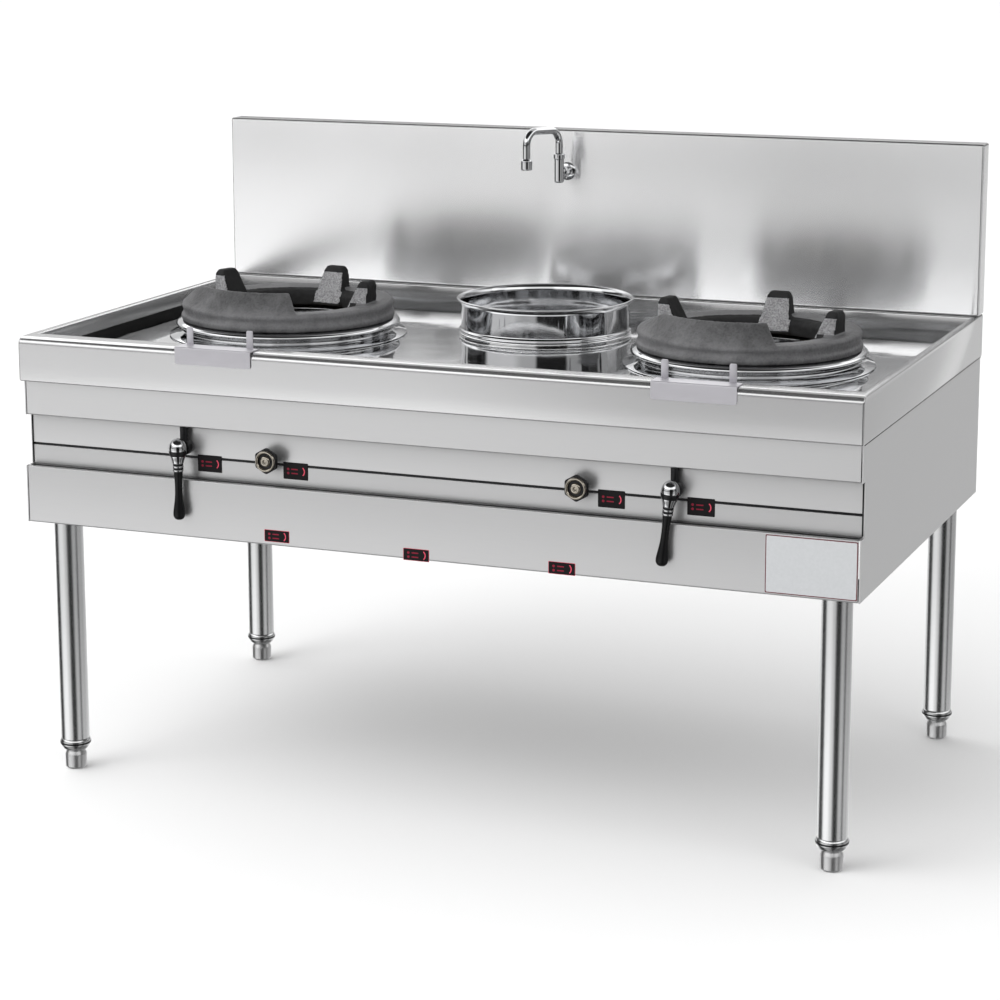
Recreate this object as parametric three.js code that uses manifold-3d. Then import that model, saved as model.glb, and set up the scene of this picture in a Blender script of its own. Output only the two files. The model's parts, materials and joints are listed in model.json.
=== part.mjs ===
// A two-ring gas wok range on four tubular legs: stainless cabinet with a sunken deck and a
// splashback, two cast-iron wok rings on polished collars, a soup pot between them, and a swing tap.
// Millimetres, +X to the right, +Y to the back, +Z up. The origin is on the floor, under the middle
// of the footprint.
import * as THREE from 'three';
import { mergeVertices } from 'three/addons/utils/BufferGeometryUtils.js';
import Module from 'manifold-3d';

const wasm = await Module();
wasm.setup();

// ---- Driving dimensions -------------------------------------------------------------------------
const WIDTH = 1500;
const DEPTH = 850;
const SHEET = 2;
const GAP = 0.3;

// Heights above the floor, with the feet screwed right in.
const RIM_TOP = 790;
const RIM_BOTTOM = 712;
const DECK_TOP = 750;
const SKIRT_BOTTOM = 762;
const BAND_BOTTOM = 651;
const GROOVE_Z = 597;
const PANEL_BOTTOM = 561;
const BODY_BOTTOM = 460;
const SPLASH_TOP = 1100;

// Depths behind the front face of the rim.
const BAND_INSET = 13;
const PANEL_INSET = 30;
const APRON_INSET = 10;
const FRONT_LEDGE = 45;
const RECESS_BACK = 806;
const SPLASH_FRONT = 812;

const SIDE_RIM = 14;
const SIDE_INSET = 2.5;
const RIM_ROUND = 4;

// Sides of the polygons that stand for circles, by size.
const LARGE_ROUND = 24;
const MIDDLE_ROUND = 16;
const SMALL_ROUND = 12;

// Burners: the same set on each side of the middle.
const BURNER_X = 438;
const BURNER_DEPTH = 423;
const DECK_HOLE = 152;
const COLLAR_TOP = 780.7;
const RING_BASE = COLLAR_TOP + GAP;
const RING_OUTER = 192.5;
const RING_INNER = 130;
const RING_TOP = RING_BASE + 33;
const GUARD_TOP = RING_BASE + 67;
const GUARD_START = { foot: 200, crest: 224 };
const GUARD_END = { foot: 301, crest: 297 };
const LUG_TOP = RING_BASE + 73;
const LUG_ANGLES = { left: [1, 81, 162], right: [-7, 87, 170] };
const RAIL_SPREAD = 90;
const CHAMBER_RADIUS = 160;
const CHAMBER_BOTTOM = 575;
const MIX_TUBE_Z = 540;
const HEAD_BASE = 585;

// Soup pot and the well it hangs in.
const POT_DEPTH = 592;
const POT_RADIUS = 154;
const POT_RIM = 161.5;
const POT_TOP = 817;
const POT_BOTTOM = 638;
const WELL_COLLAR_TOP = 756;

// Controls.
const VALVE_X = 440;
const VALVE_Z = 615;
const LEVER_DEPTH = -3;
const LEVER_RADIUS = 15.5;
const LEVER_TILT = { left: 0, right: 6.5 };
const PILOT_X = 278;
const PILOT_Z = 606;
const MANIFOLD_DEPTH = 80;
const MANIFOLD_Z = 579;
const MANIFOLD_RADIUS = 17;

// Swing tap.
const TAP_X = -40;
const TAP_DEPTH = 767;
const TAP_Z = 1022;
const TAP_TUBE = 7;
const SPOUT_REACH = { x: -27, depth: -98 };
const SPOUT_CREST = 1103;
const BARREL_TOP = 1060;
const NOZZLE_BOTTOM = 1037;
const WATER_PIPE_DEPTH = 829;
const WATER_INLET_Z = 680;
const DRAIN = { x: -60, depth: 780 };

// Legs.
const LEG_X = WIDTH / 2 - 52;
const LEG_DEPTHS = { front: 63, rear: 800 };
const LEG_RADIUS = 25;
const LEG_WALL = 1.5;
const LEG_BOTTOM = 46;
const SOCKET_TOP = 520;
const RAIL_TOP = 491;

// The levers stand furthest forward, so the footprint is centred between them and the back.
const PROUD = LEVER_RADIUS - LEVER_DEPTH;
const FRONT_Y = -(DEPTH + PROUD) / 2 + PROUD;
const SIDES = { left: -1, right: 1 };

// ---- Materials ----------------------------------------------------------------------------------
const finish = (color, roughness, metalness) => () =>
  new THREE.MeshStandardMaterial({ color, roughness, metalness });
const satinSteel = finish(0xc9cacc, 0.35, 0.9);
const mirrorSteel = finish(0xd4d6d8, 0.08, 1);
const castIron = finish(0x4c4c4e, 0.8, 0.35);
const chrome = finish(0xe2e4e6, 0.06, 1);
const blackGrip = finish(0x101012, 0.35, 0);
const brass = finish(0xb59a62, 0.3, 1);
const pipeSteel = finish(0x8d8f91, 0.5, 0.8);
const firebrick = finish(0xb9a892, 0.95, 0);

// ---- Shape helpers ------------------------------------------------------------------------------
const rad = THREE.MathUtils.degToRad;
const atDepth = (depth) => FRONT_Y + depth;

// A closed geometry as a solid that can be joined and cut.
function solid(geometry) {
  const bare = geometry.clone();
  bare.deleteAttribute('normal');
  bare.deleteAttribute('uv');
  const merged = mergeVertices(bare, 1e-4);
  const triangles = [];
  const index = merged.index.array;
  for (let i = 0; i < index.length; i += 3) {
    const [a, b, c] = [index[i], index[i + 1], index[i + 2]];
    if (a !== b && b !== c && c !== a) triangles.push(a, b, c);
  }
  return new wasm.Manifold(new wasm.Mesh({
    numProp: 3,
    vertProperties: Float32Array.from(merged.attributes.position.array),
    triVerts: Uint32Array.from(triangles),
  }));
}

function toGeometry(body) {
  const mesh = body.getMesh();
  const geometry = new THREE.BufferGeometry();
  geometry.setAttribute('position', new THREE.BufferAttribute(mesh.vertProperties, 3));
  geometry.setIndex(new THREE.BufferAttribute(mesh.triVerts, 1));
  geometry.computeVertexNormals();
  return geometry;
}

const join = (...bodies) => bodies.reduce((sum, body) => sum.add(body));
const cut = (body, ...tools) => tools.reduce((rest, tool) => rest.subtract(tool), body);

// A block between two x values, two depths and two heights.
function block(x, depth, z) {
  const geometry = new THREE.BoxGeometry(x[1] - x[0], depth[1] - depth[0], z[1] - z[0]);
  geometry.translate((x[0] + x[1]) / 2, atDepth((depth[0] + depth[1]) / 2), (z[0] + z[1]) / 2);
  return solid(geometry);
}

// A profile of [radius, height] points turned about a vertical axis. The points run round the
// section with the material on their left.
function turned(points, segments) {
  const outline = points.map(([radius, height]) => new THREE.Vector2(radius, height));
  const closes = points[0][0] > 0;
  if (closes) outline.push(outline[0].clone());
  const geometry = new THREE.LatheGeometry(outline, segments);
  return solid(geometry.rotateX(Math.PI / 2));
}

// A tube or rod between two heights.
const rod = (radius, z, segments) =>
  turned([[0, z[0]], [radius, z[0]], [radius, z[1]], [0, z[1]]], segments);

// A bar along the depth of the range.
function depthBar(radius, x, depth, z, sides) {
  const geometry = new THREE.CylinderGeometry(radius, radius, depth[1] - depth[0], sides);
  geometry.translate(x, atDepth((depth[0] + depth[1]) / 2), z);
  return solid(geometry);
}

const placed = (body, x, depth, z = 0) => body.translate([x, atDepth(depth), z]);

// A round pipe along straight runs joined by bends; points are [x, depth, z].
function pipe(points, radius, bend, sides, bendSteps) {
  const corners = points.map(([x, depth, z]) => new THREE.Vector3(x, atDepth(depth), z));
  const path = new THREE.CurvePath();
  let from = corners[0];
  for (let i = 1; i < corners.length - 1; i += 1) {
    const corner = corners[i];
    const before = corner.clone().sub(from).setLength(bend);
    const after = corners[i + 1].clone().sub(corner).setLength(bend);
    const start = corner.clone().sub(before);
    const end = corner.clone().add(after);
    path.add(new THREE.LineCurve3(from, start));
    path.add(new THREE.QuadraticBezierCurve3(start, corner, end));
    from = end;
  }
  path.add(new THREE.LineCurve3(from, corners[corners.length - 1]));
  const section = new THREE.Shape();
  section.absarc(0, 0, radius, 0, Math.PI * 2, false);
  const steps = path.curves.flatMap((curve, i) => {
    const count = i % 2 ? bendSteps : 1;
    return Array.from({ length: count }, (_, k) => curve.getPoint(k / count));
  });
  steps.push(corners[corners.length - 1]);
  const route = new PolyRoute(steps);
  const geometry = new THREE.ExtrudeGeometry(section, {
    steps: steps.length - 1,
    bevelEnabled: false,
    curveSegments: sides / 2,
    extrudePath: route,
  });
  return solid(geometry);
}

// A curve that passes through given points at equal parameter steps, whatever their spacing.
class PolyRoute extends THREE.Curve {
  constructor(points) {
    super();
    this.points = points;
  }

  getPoint(t, target = new THREE.Vector3()) {
    const last = this.points.length - 1;
    const i = Math.min(Math.floor(t * last + 1e-9), last - 1);
    return target.lerpVectors(this.points[i], this.points[i + 1], t * last - i);
  }

  getPointAt(t, target) {
    return this.getPoint(t, target);
  }

  getTangentAt(t) {
    const last = this.points.length - 1;
    const i = Math.round(t * last);
    const ahead = this.points[Math.min(i + 1, last)].clone().sub(this.points[i]).normalize();
    const behind = this.points[i].clone().sub(this.points[Math.max(i - 1, 0)]).normalize();
    return ahead.add(behind).normalize();
  }
}

// A folded sheet: a line of [depth, z] corners given thickness towards its left, run along x.
function foldedSheet(corners, x) {
  const line = corners.map(([depth, z]) => new THREE.Vector2(atDepth(depth), z));
  const offset = line.map((point, i) => {
    const into = i > 0 ? point.clone().sub(line[i - 1]).normalize() : null;
    const out = i < line.length - 1 ? line[i + 1].clone().sub(point).normalize() : null;
    const sides = [into, out].filter(Boolean).map((d) => new THREE.Vector2(-d.y, d.x));
    const shift = sides.length === 2 ? sides[0].clone().add(sides[1]) : sides[0];
    return point.clone().add(shift.multiplyScalar(SHEET));
  });
  return sideways(new THREE.Shape([...line, ...offset.reverse()]), x);
}

// A shape drawn in depth and height, extruded between two x values.
function sideways(shape, x) {
  const geometry = new THREE.ExtrudeGeometry(shape, { depth: x[1] - x[0], bevelEnabled: false });
  const axes = new THREE.Matrix4().set(0, 0, 1, x[0], 1, 0, 0, 0, 0, 1, 0, 0, 0, 0, 0, 1);
  return solid(geometry.applyMatrix4(axes));
}

// A block that narrows evenly from its foot to its top, standing on z = 0, and leans along x.
function taperedBlock(foot, top, height, lean) {
  const geometry = new THREE.BoxGeometry(1, 1, height);
  const position = geometry.attributes.position;
  for (let i = 0; i < position.count; i += 1) {
    const upper = position.getZ(i) > 0;
    const [sizeX, sizeY] = upper ? top : foot;
    position.setX(i, position.getX(i) * sizeX + (upper ? lean : 0));
    position.setY(i, position.getY(i) * sizeY);
  }
  geometry.translate(0, 0, height / 2);
  return solid(geometry);
}

// ---- Assembly -----------------------------------------------------------------------------------
const range = new THREE.Group();
range.name = 'wok_range';

function add(name, body, material) {
  const mesh = new THREE.Mesh(toGeometry(body), material());
  mesh.name = name;
  range.add(mesh);
}

// ---- Worktop ------------------------------------------------------------------------------------
const HALF = WIDTH / 2;
const recess = {
  x: [-HALF + SIDE_RIM, HALF - SIDE_RIM],
  depth: [FRONT_LEDGE, RECESS_BACK],
};
const grow = ([low, high], amount) => [low - amount, high + amount];

// The rim is an inverted channel all round: apron outside, narrow top, short skirt inside.
function rimFrame() {
  const shape = new THREE.Shape([
    new THREE.Vector2(-HALF, atDepth(0)),
    new THREE.Vector2(HALF, atDepth(0)),
    new THREE.Vector2(HALF, atDepth(DEPTH)),
    new THREE.Vector2(-HALF, atDepth(DEPTH)),
  ]);
  const hidden = 20;
  const slab = new THREE.ExtrudeGeometry(shape, {
    depth: RIM_TOP - RIM_BOTTOM + hidden - 2 * RIM_ROUND,
    bevelSize: RIM_ROUND,
    bevelThickness: RIM_ROUND,
    bevelOffset: -RIM_ROUND,
    bevelSegments: 3,
  }).translate(0, 0, RIM_BOTTOM - hidden + RIM_ROUND);
  const below = RIM_BOTTOM - 2 * hidden;
  const inside = cut(
    block([-HALF + SHEET, HALF - SHEET], [SHEET, DEPTH - SHEET], [below, RIM_TOP - SHEET]),
    block(grow(recess.x, SHEET), grow(recess.depth, SHEET), [below, RIM_TOP]),
  );
  return cut(
    solid(slab),
    block([-HALF - 1, HALF + 1], [-1, DEPTH + 1], [below, RIM_BOTTOM]),
    block(recess.x, recess.depth, [below, RIM_TOP + 1]),
    inside,
    block(grow(recess.x, SHEET + 1), grow(recess.depth, SHEET + 1), [below, SKIRT_BOTTOM]),
    placed(rod(10, [RIM_BOTTOM, RIM_TOP + 1], SMALL_ROUND), TAP_X, WATER_PIPE_DEPTH),
  );
}

// The deck runs under the skirt of the rim, and its upstand stands behind the skirt all round it.
const deckEdge = { x: grow(recess.x, 7), depth: grow(recess.depth, 7) };

function deckPan() {
  const through = [DECK_TOP - SHEET - 1, DECK_TOP + 1];
  const wideHole = (x, depth) => placed(rod(DECK_HOLE, through, LARGE_ROUND), x, depth);
  const inside = -SHEET - GAP;
  return cut(
    block(grow(deckEdge.x, inside), grow(deckEdge.depth, inside), [DECK_TOP - SHEET, DECK_TOP]),
    wideHole(-BURNER_X, BURNER_DEPTH),
    wideHole(BURNER_X, BURNER_DEPTH),
    wideHole(0, POT_DEPTH),
    placed(rod(19, through, MIDDLE_ROUND), DRAIN.x, DRAIN.depth),
  );
}

function deckUpstand() {
  const bottom = DECK_TOP - SHEET;
  return cut(
    block(deckEdge.x, deckEdge.depth, [bottom, RIM_TOP - SHEET - GAP]),
    block(grow(deckEdge.x, -SHEET), grow(deckEdge.depth, -SHEET), [bottom - 1, RIM_TOP]),
  );
}

add('rim_frame', rimFrame(), satinSteel);
add('deck_pan', deckPan(), mirrorSteel);
add('deck_upstand', deckUpstand(), mirrorSteel);

// Strainer spigot at the back of the deck.
add('deck_drain', placed(turned([
  [13, 690], [15.5, 690], [15.5, DECK_TOP + GAP], [24, DECK_TOP + GAP], [23, 752.5], [13, 751.5],
], MIDDLE_ROUND), DRAIN.x, DRAIN.depth), satinSteel);

// Small hooked rests over the front rim: apron, shelf, and two upright tabs at the back.
function rimRest(centreX) {
  const half = 71;
  const shelf = [RIM_TOP + GAP, RIM_TOP + GAP + SHEET];
  const x = [centreX - half, centreX + half];
  const apron = [-GAP - SHEET, -GAP];
  const tabDepth = [29, 31];
  const tab = (from) => block([from, from + 12], tabDepth, [shelf[0], 822]);
  return join(
    block(x, apron, [763, shelf[1]]),
    block(x, [apron[0], tabDepth[1]], shelf),
    tab(x[0] + 7),
    tab(x[1] - 22),
  );
}
add('rim_rest_left', rimRest(-371), satinSteel);
add('rim_rest_right', rimRest(476), satinSteel);

// ---- Cabinet ------------------------------------------------------------------------------------
const SIDE_FACE = HALF - SIDE_INSET;
const BETWEEN = SIDE_FACE - SHEET - GAP;
const frontSpan = [-BETWEEN, BETWEEN];
const UNDER_RIM = RIM_TOP - SHEET - GAP;
const BACK_FACE = DEPTH - SIDE_INSET;

// The band hangs inside the rim apron and returns under itself down to the control panel.
add('fascia_band', foldedSheet([
  [BAND_INSET, UNDER_RIM],
  [BAND_INSET, BAND_BOTTOM],
  [PANEL_INSET + SHEET, BAND_BOTTOM],
], frontSpan), satinSteel);

function controlPanel() {
  const top = BAND_BOTTOM - GAP;
  const grooveHalf = 2.5;
  const sheet = foldedSheet([
    [PANEL_INSET + 22, top],
    [PANEL_INSET, top],
    [PANEL_INSET, GROOVE_Z + grooveHalf],
    [PANEL_INSET + 4, GROOVE_Z + grooveHalf],
    [PANEL_INSET + 4, GROOVE_Z - grooveHalf],
    [PANEL_INSET, GROOVE_Z - grooveHalf],
    [PANEL_INSET, PANEL_BOTTOM + GAP],
  ], frontSpan);
  const through = [PANEL_INSET - 5, PANEL_INSET + 8];
  const holes = Object.values(SIDES).flatMap((side) => [
    depthBar(9, side * VALVE_X, through, VALVE_Z, SMALL_ROUND),
    depthBar(9, side * PILOT_X, through, PILOT_Z, SMALL_ROUND),
  ]);
  return cut(sheet, ...holes);
}
add('control_panel', controlPanel(), satinSteel);

add('lower_apron', foldedSheet([
  [PANEL_INSET + 6, PANEL_BOTTOM],
  [APRON_INSET, PANEL_BOTTOM],
  [APRON_INSET, BODY_BOTTOM],
  [APRON_INSET + 24, BODY_BOTTOM],
], frontSpan), satinSteel);

// Each side is one sheet whose front edge follows the steps of the fascia.
function sidePanel(side) {
  const outline = [
    [BAND_INSET, UNDER_RIM], [BAND_INSET, BAND_BOTTOM],
    [PANEL_INSET, BAND_BOTTOM], [PANEL_INSET, PANEL_BOTTOM],
    [APRON_INSET, PANEL_BOTTOM], [APRON_INSET, BODY_BOTTOM],
    [BACK_FACE, BODY_BOTTOM], [BACK_FACE, UNDER_RIM],
  ].map(([depth, z]) => new THREE.Vector2(atDepth(depth), z));
  const span = (from, to) => (side > 0 ? [from, to] : [-to, -from]);
  return join(
    sideways(new THREE.Shape(outline), span(SIDE_FACE - SHEET, SIDE_FACE)),
    block(span(SIDE_FACE - 20, SIDE_FACE), [40, BACK_FACE - 30], [BODY_BOTTOM, BODY_BOTTOM + SHEET]),
  );
}
for (const [name, side] of Object.entries(SIDES)) add(`side_panel_${name}`, sidePanel(side), satinSteel);

const GAS_INLET = { x: 650, z: MANIFOLD_Z };
add('back_panel', cut(
  join(
    block(frontSpan, [BACK_FACE - SHEET, BACK_FACE], [BODY_BOTTOM, UNDER_RIM]),
    block(frontSpan, [BACK_FACE - 20, BACK_FACE], [BODY_BOTTOM, BODY_BOTTOM + SHEET]),
  ),
  depthBar(22, GAS_INLET.x, [BACK_FACE - 5, BACK_FACE + 1], GAS_INLET.z, MIDDLE_ROUND),
  depthBar(11, TAP_X, [BACK_FACE - 5, BACK_FACE + 1], WATER_INLET_Z, SMALL_ROUND),
), satinSteel);

// Welded frame inside the foot of the cabinet: angle round the edge, burner rails, leg sockets.
function baseFrame() {
  const floor = BODY_BOTTOM + SHEET + GAP;
  const angle = 3;
  const flange = 30;
  const x = [-BETWEEN + GAP, BETWEEN - GAP];
  const depth = [APRON_INSET + 24 + GAP, BACK_FACE - SHEET - GAP];
  const wall = cut(
    block(x, depth, [floor, floor + flange]),
    block(grow(x, -angle), grow(depth, -angle), [floor + angle, floor + flange + 1]),
    block(grow(x, -flange), grow(depth, -flange), [floor - 1, floor + angle + 1]),
  );
  const rails = Object.values(SIDES).flatMap((side) => [-1, 1].map((edge) => {
    const middle = side * BURNER_X + edge * RAIL_SPREAD;
    return block([middle - 15, middle + 15], grow(depth, -angle / 2), [floor + angle - 1, RAIL_TOP]);
  }));
  const legs = legPlaces();
  const sockets = legs.map(({ x: legX, depth: legDepth }) => join(
    block([legX - 40, legX + 40], [legDepth - 28, legDepth + 40], [floor, floor + 5]),
    placed(rod(LEG_RADIUS + 4, [floor, SOCKET_TOP], SMALL_ROUND), legX, legDepth),
  ));
  const bores = legs.map(({ x: legX, depth: legDepth }) =>
    placed(rod(LEG_RADIUS + 1, [floor - 1, SOCKET_TOP - 5], SMALL_ROUND), legX, legDepth));
  return cut(join(wall, ...rails, ...sockets), ...bores);
}

function legPlaces() {
  return Object.entries(LEG_DEPTHS).flatMap(([row, depth]) =>
    Object.entries(SIDES).map(([name, side]) => ({ name: `${row}_${name}`, x: side * LEG_X, depth })));
}
add('base_frame', baseFrame(), pipeSteel);

// ---- Legs and levelling feet ------------------------------------------------------------------
for (const { name, x, depth } of legPlaces()) {
  const inner = LEG_RADIUS - LEG_WALL;
  const tubeTop = SOCKET_TOP - 5 - GAP;
  add(`leg_${name}`, placed(turned([
    [inner, LEG_BOTTOM + 10], [LEG_RADIUS, LEG_BOTTOM + 10], [LEG_RADIUS, tubeTop], [inner, tubeTop],
  ], SMALL_ROUND), x, depth), satinSteel);
  // Plug pressed into the tube, with a bulged ring that covers the tube's end.
  add(`leg_collar_${name}`, placed(turned([
    [9, 34], [19, 34], [25, 39], [27.5, LEG_BOTTOM], [25, LEG_BOTTOM + 10 - GAP],
    [inner - 1, LEG_BOTTOM + 10 - GAP], [inner - 1, 84], [9, 84],
  ], SMALL_ROUND), x, depth), satinSteel);
  // Levelling foot: pad with a stem that runs up inside the plug.
  add(`foot_${name}`, placed(turned([
    [0, 0], [16, 0], [19, 3], [19, 26], [16, 33.5], [8, 33.5], [8, 78], [0, 78],
  ], SMALL_ROUND), x, depth), satinSteel);
}

// ---- Burners ------------------------------------------------------------------------------------
// Polished collar: rolled foot flange on the deck, waisted wall, bell-mouthed top, inner skirt.
const burnerCollar = () => turned([
  [148.5, 700], [151, 700], [151.5, 769.5], [168.5, 778.2], [197, 776.5], [188, 770],
  [188, 758], [204, DECK_TOP + GAP], [214, DECK_TOP + GAP], [216.5, 752.5], [199, 755.8],
  [191, 759], [192, 768.5], [202, 770.7], [204, 774.5], [190, COLLAR_TOP], [168, COLLAR_TOP],
  [149.5, 772.5],
], LARGE_ROUND);

// Ends the guard in a leaning plane through a point of its foot and one of its crest.
function endGuard(body, { foot, crest }) {
  const base = RING_BASE + 25;
  const out = (radius, angle, z) =>
    new THREE.Vector3(radius * Math.cos(rad(angle)), radius * Math.sin(rad(angle)), z);
  const normal = out(190, foot, 0).cross(out(160, crest, GUARD_TOP - base)).normalize();
  const towardsGuard = out(1, (GUARD_START.foot + GUARD_END.foot) / 2, 0);
  if (normal.dot(towardsGuard) < 0) normal.negate();
  return body.trimByPlane(normal.toArray(), normal.z * base);
}

// Cast wok ring: stepped annulus, raised guard towards the cook, three lugs that carry the wok.
function wokRing(lugAngles) {
  const b = RING_BASE;
  const annulus = turned([
    [RING_INNER, b], [RING_OUTER, b], [194, b + 3], [194, b + 9], [190, b + 12], [190, b + 20],
    [RING_OUTER, b + 23], [RING_OUTER, b + 28], [189, b + 32], [176, RING_TOP], [148, b + 30],
    [RING_INNER + 5, b + 27], [RING_INNER, b + 21],
  ], LARGE_ROUND);
  const cone = turned([
    [181, b + 22], [190, b + 25], [188, b + 33], [164, GUARD_TOP - 3], [160, GUARD_TOP],
    [156, GUARD_TOP - 2], [178, b + 33],
  ], LARGE_ROUND);
  const guard = endGuard(endGuard(cone, GUARD_START), GUARD_END);
  const shankHeight = LUG_TOP - 9 - b - 3;
  const lugs = lugAngles.map((angle) => {
    const shank = taperedBlock([44, 60], [22, 42], shankHeight, 17);
    const crown = taperedBlock([22, 42], [15, 32], 9, 0).translate([17, 0, shankHeight]);
    return join(shank, crown).translate([140, 0, b + 3]).rotate([0, 0, angle]);
  });
  return join(annulus, guard, ...lugs);
}

// Steel jacket on four feet, with an inward flange that carries the lining.
function chamberShell() {
  const inner = CHAMBER_RADIUS - 4;
  const jacket = turned([
    [125, CHAMBER_BOTTOM], [CHAMBER_RADIUS, CHAMBER_BOTTOM],
    [CHAMBER_RADIUS, DECK_TOP - SHEET - GAP], [inner, DECK_TOP - SHEET - GAP],
    [inner, CHAMBER_BOTTOM + 4], [125, CHAMBER_BOTTOM + 4],
  ], MIDDLE_ROUND);
  const feet = [-1, 1].flatMap((sideX) => [-1, 1].map((sideY) => {
    const foot = new THREE.BoxGeometry(24, 5, CHAMBER_BOTTOM - RAIL_TOP + 4);
    foot.translate(sideX * RAIL_SPREAD, sideY * 113, (CHAMBER_BOTTOM + RAIL_TOP + 4) / 2 + GAP);
    return solid(foot);
  }));
  return join(jacket, ...feet);
}

// Refractory bowl inside the jacket, open in the floor for the burner head.
const fireBowl = () => turned([
  [78, CHAMBER_BOTTOM + 5], [152, CHAMBER_BOTTOM + 5], [152, 695], [146, 695], [132, 640], [96, 606],
  [78, 604],
], MIDDLE_ROUND);

// Burner head: gas box with two rings of upright jets round a middle one.
function burnerHead() {
  const box = turned([
    [0, HEAD_BASE], [24, HEAD_BASE], [60, HEAD_BASE + 10], [60, HEAD_BASE + 26], [54, HEAD_BASE + 30],
    [0, HEAD_BASE + 30],
  ], MIDDLE_ROUND);
  const jet = (radius, angle) => {
    const tube = new THREE.CylinderGeometry(4, 5.5, 24, 5).rotateX(Math.PI / 2);
    tube.translate(radius * Math.cos(angle), radius * Math.sin(angle), HEAD_BASE + 40);
    return solid(tube);
  };
  const ringOfJets = (radius, count) =>
    Array.from({ length: count }, (_, i) => jet(radius, (i / count) * Math.PI * 2));
  return join(box, jet(0, 0), ...ringOfJets(22, 5), ...ringOfJets(45, 10));
}

// Mixing tube with its air bell in front, an elbow up to the head, and a stand across the rails.
function mixingTube(x) {
  const mouth = BURNER_DEPTH - 205;
  const tube = pipe([
    [x, mouth + 10, MIX_TUBE_Z],
    [x, BURNER_DEPTH, MIX_TUBE_Z],
    [x, BURNER_DEPTH, HEAD_BASE - GAP],
  ], 18, 34, SMALL_ROUND, 3);
  const funnel = (inner, outer, middle) => solid(
    new THREE.CylinderGeometry(inner, outer, 36, SMALL_ROUND).translate(x, atDepth(middle), MIX_TUBE_Z),
  );
  const bell = cut(join(tube, funnel(18, 30, mouth + 18)), funnel(14, 27, mouth + 15));
  const bar = block(
    [x - RAIL_SPREAD - 12, x + RAIL_SPREAD + 12],
    [BURNER_DEPTH - 70, BURNER_DEPTH - 45],
    [RAIL_TOP + GAP, RAIL_TOP + 5],
  );
  const post = block([x - 6, x + 6], [BURNER_DEPTH - 64, BURNER_DEPTH - 51], [RAIL_TOP + 1, MIX_TUBE_Z]);
  return join(bell, bar, post);
}

for (const [name, side] of Object.entries(SIDES)) {
  const x = side * BURNER_X;
  add(`burner_collar_${name}`, placed(burnerCollar(), x, BURNER_DEPTH), mirrorSteel);
  add(`wok_ring_${name}`, placed(wokRing(LUG_ANGLES[name]), x, BURNER_DEPTH), castIron);
  add(`chamber_shell_${name}`, placed(chamberShell(), x, BURNER_DEPTH), pipeSteel);
  add(`fire_bowl_${name}`, placed(fireBowl(), x, BURNER_DEPTH), firebrick);
  add(`burner_head_${name}`, placed(burnerHead(), x, BURNER_DEPTH), castIron);
  add(`mixing_tube_${name}`, mixingTube(x), pipeSteel);
}

// ---- Gas train ----------------------------------------------------------------------------------
add('gas_manifold', pipe([
  [-VALVE_X - 60, MANIFOLD_DEPTH, MANIFOLD_Z],
  [GAS_INLET.x, MANIFOLD_DEPTH, MANIFOLD_Z],
  [GAS_INLET.x, DEPTH, MANIFOLD_Z],
], MANIFOLD_RADIUS, 45, SMALL_ROUND, 4), pipeSteel);

// Neck that stands on the manifold and rises into a valve.
function manifoldNeck(radius, x, top) {
  const foot = MANIFOLD_Z + MANIFOLD_RADIUS + GAP;
  return placed(rod(radius, [foot, top], 8), x, MANIFOLD_DEPTH);
}

// Lever valve: body behind the panel, stem through it, round bonnet in front, riser to the band.
function valveBody(x) {
  const bonnet = [LEVER_DEPTH + LEVER_RADIUS + 0.5, 26];
  const riser = rod(7, [VALVE_Z + 6, BAND_BOTTOM - GAP], SMALL_ROUND);
  return join(
    depthBar(13.5, x, bonnet, VALVE_Z, MIDDLE_ROUND),
    depthBar(7, x, [bonnet[1] - 1, 40], VALVE_Z, SMALL_ROUND),
    depthBar(15, x, [38, 98], VALVE_Z, 6),
    placed(riser, x, (bonnet[0] + bonnet[1]) / 2 + 1),
    manifoldNeck(9, x, VALVE_Z),
  );
}

// Pear-shaped chrome head with a banded ferrule, and the moulded grip below it.
const leverHead = () => turned([
  [0, -42], [7, -42], [9, -40], [9, -37], [7.8, -36], [7.8, -32], [9, -31], [8.4, -25],
  [11, -18], [15, -7], [LEVER_RADIUS, 1], [13.5, 11], [7.5, 17.5], [0, 20],
], SMALL_ROUND);
const leverGrip = () => turned([
  [0, -130], [6.5, -129], [10, -124], [10.5, -118], [8.8, -104], [6.8, -82], [7, -62],
  [8.2, -42 - GAP], [0, -42 - GAP],
], SMALL_ROUND);

function onLever(body, name, x) {
  return placed(body.rotate([0, LEVER_TILT[name], 0]), x, LEVER_DEPTH, VALVE_Z);
}

// Pilot cock: body and stem, and the six-sided key that is turned by hand.
function pilotBody(x) {
  return join(
    depthBar(8, x, [12.5, 40], PILOT_Z, SMALL_ROUND),
    depthBar(10, x, [38, 92], PILOT_Z, 6),
    manifoldNeck(6, x, PILOT_Z),
  );
}

function pilotKnob(x) {
  const plate = new THREE.CylinderGeometry(23, 23, 7, 6).translate(x, atDepth(8.5), PILOT_Z);
  const boss = depthBar(14, x, [0, 6], PILOT_Z, MIDDLE_ROUND);
  const dish = depthBar(10, x, [-1, 2.5], PILOT_Z, SMALL_ROUND);
  const nose = depthBar(5, x, [0, 4], PILOT_Z, 8);
  return join(cut(join(solid(plate), boss), dish), nose);
}

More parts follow.
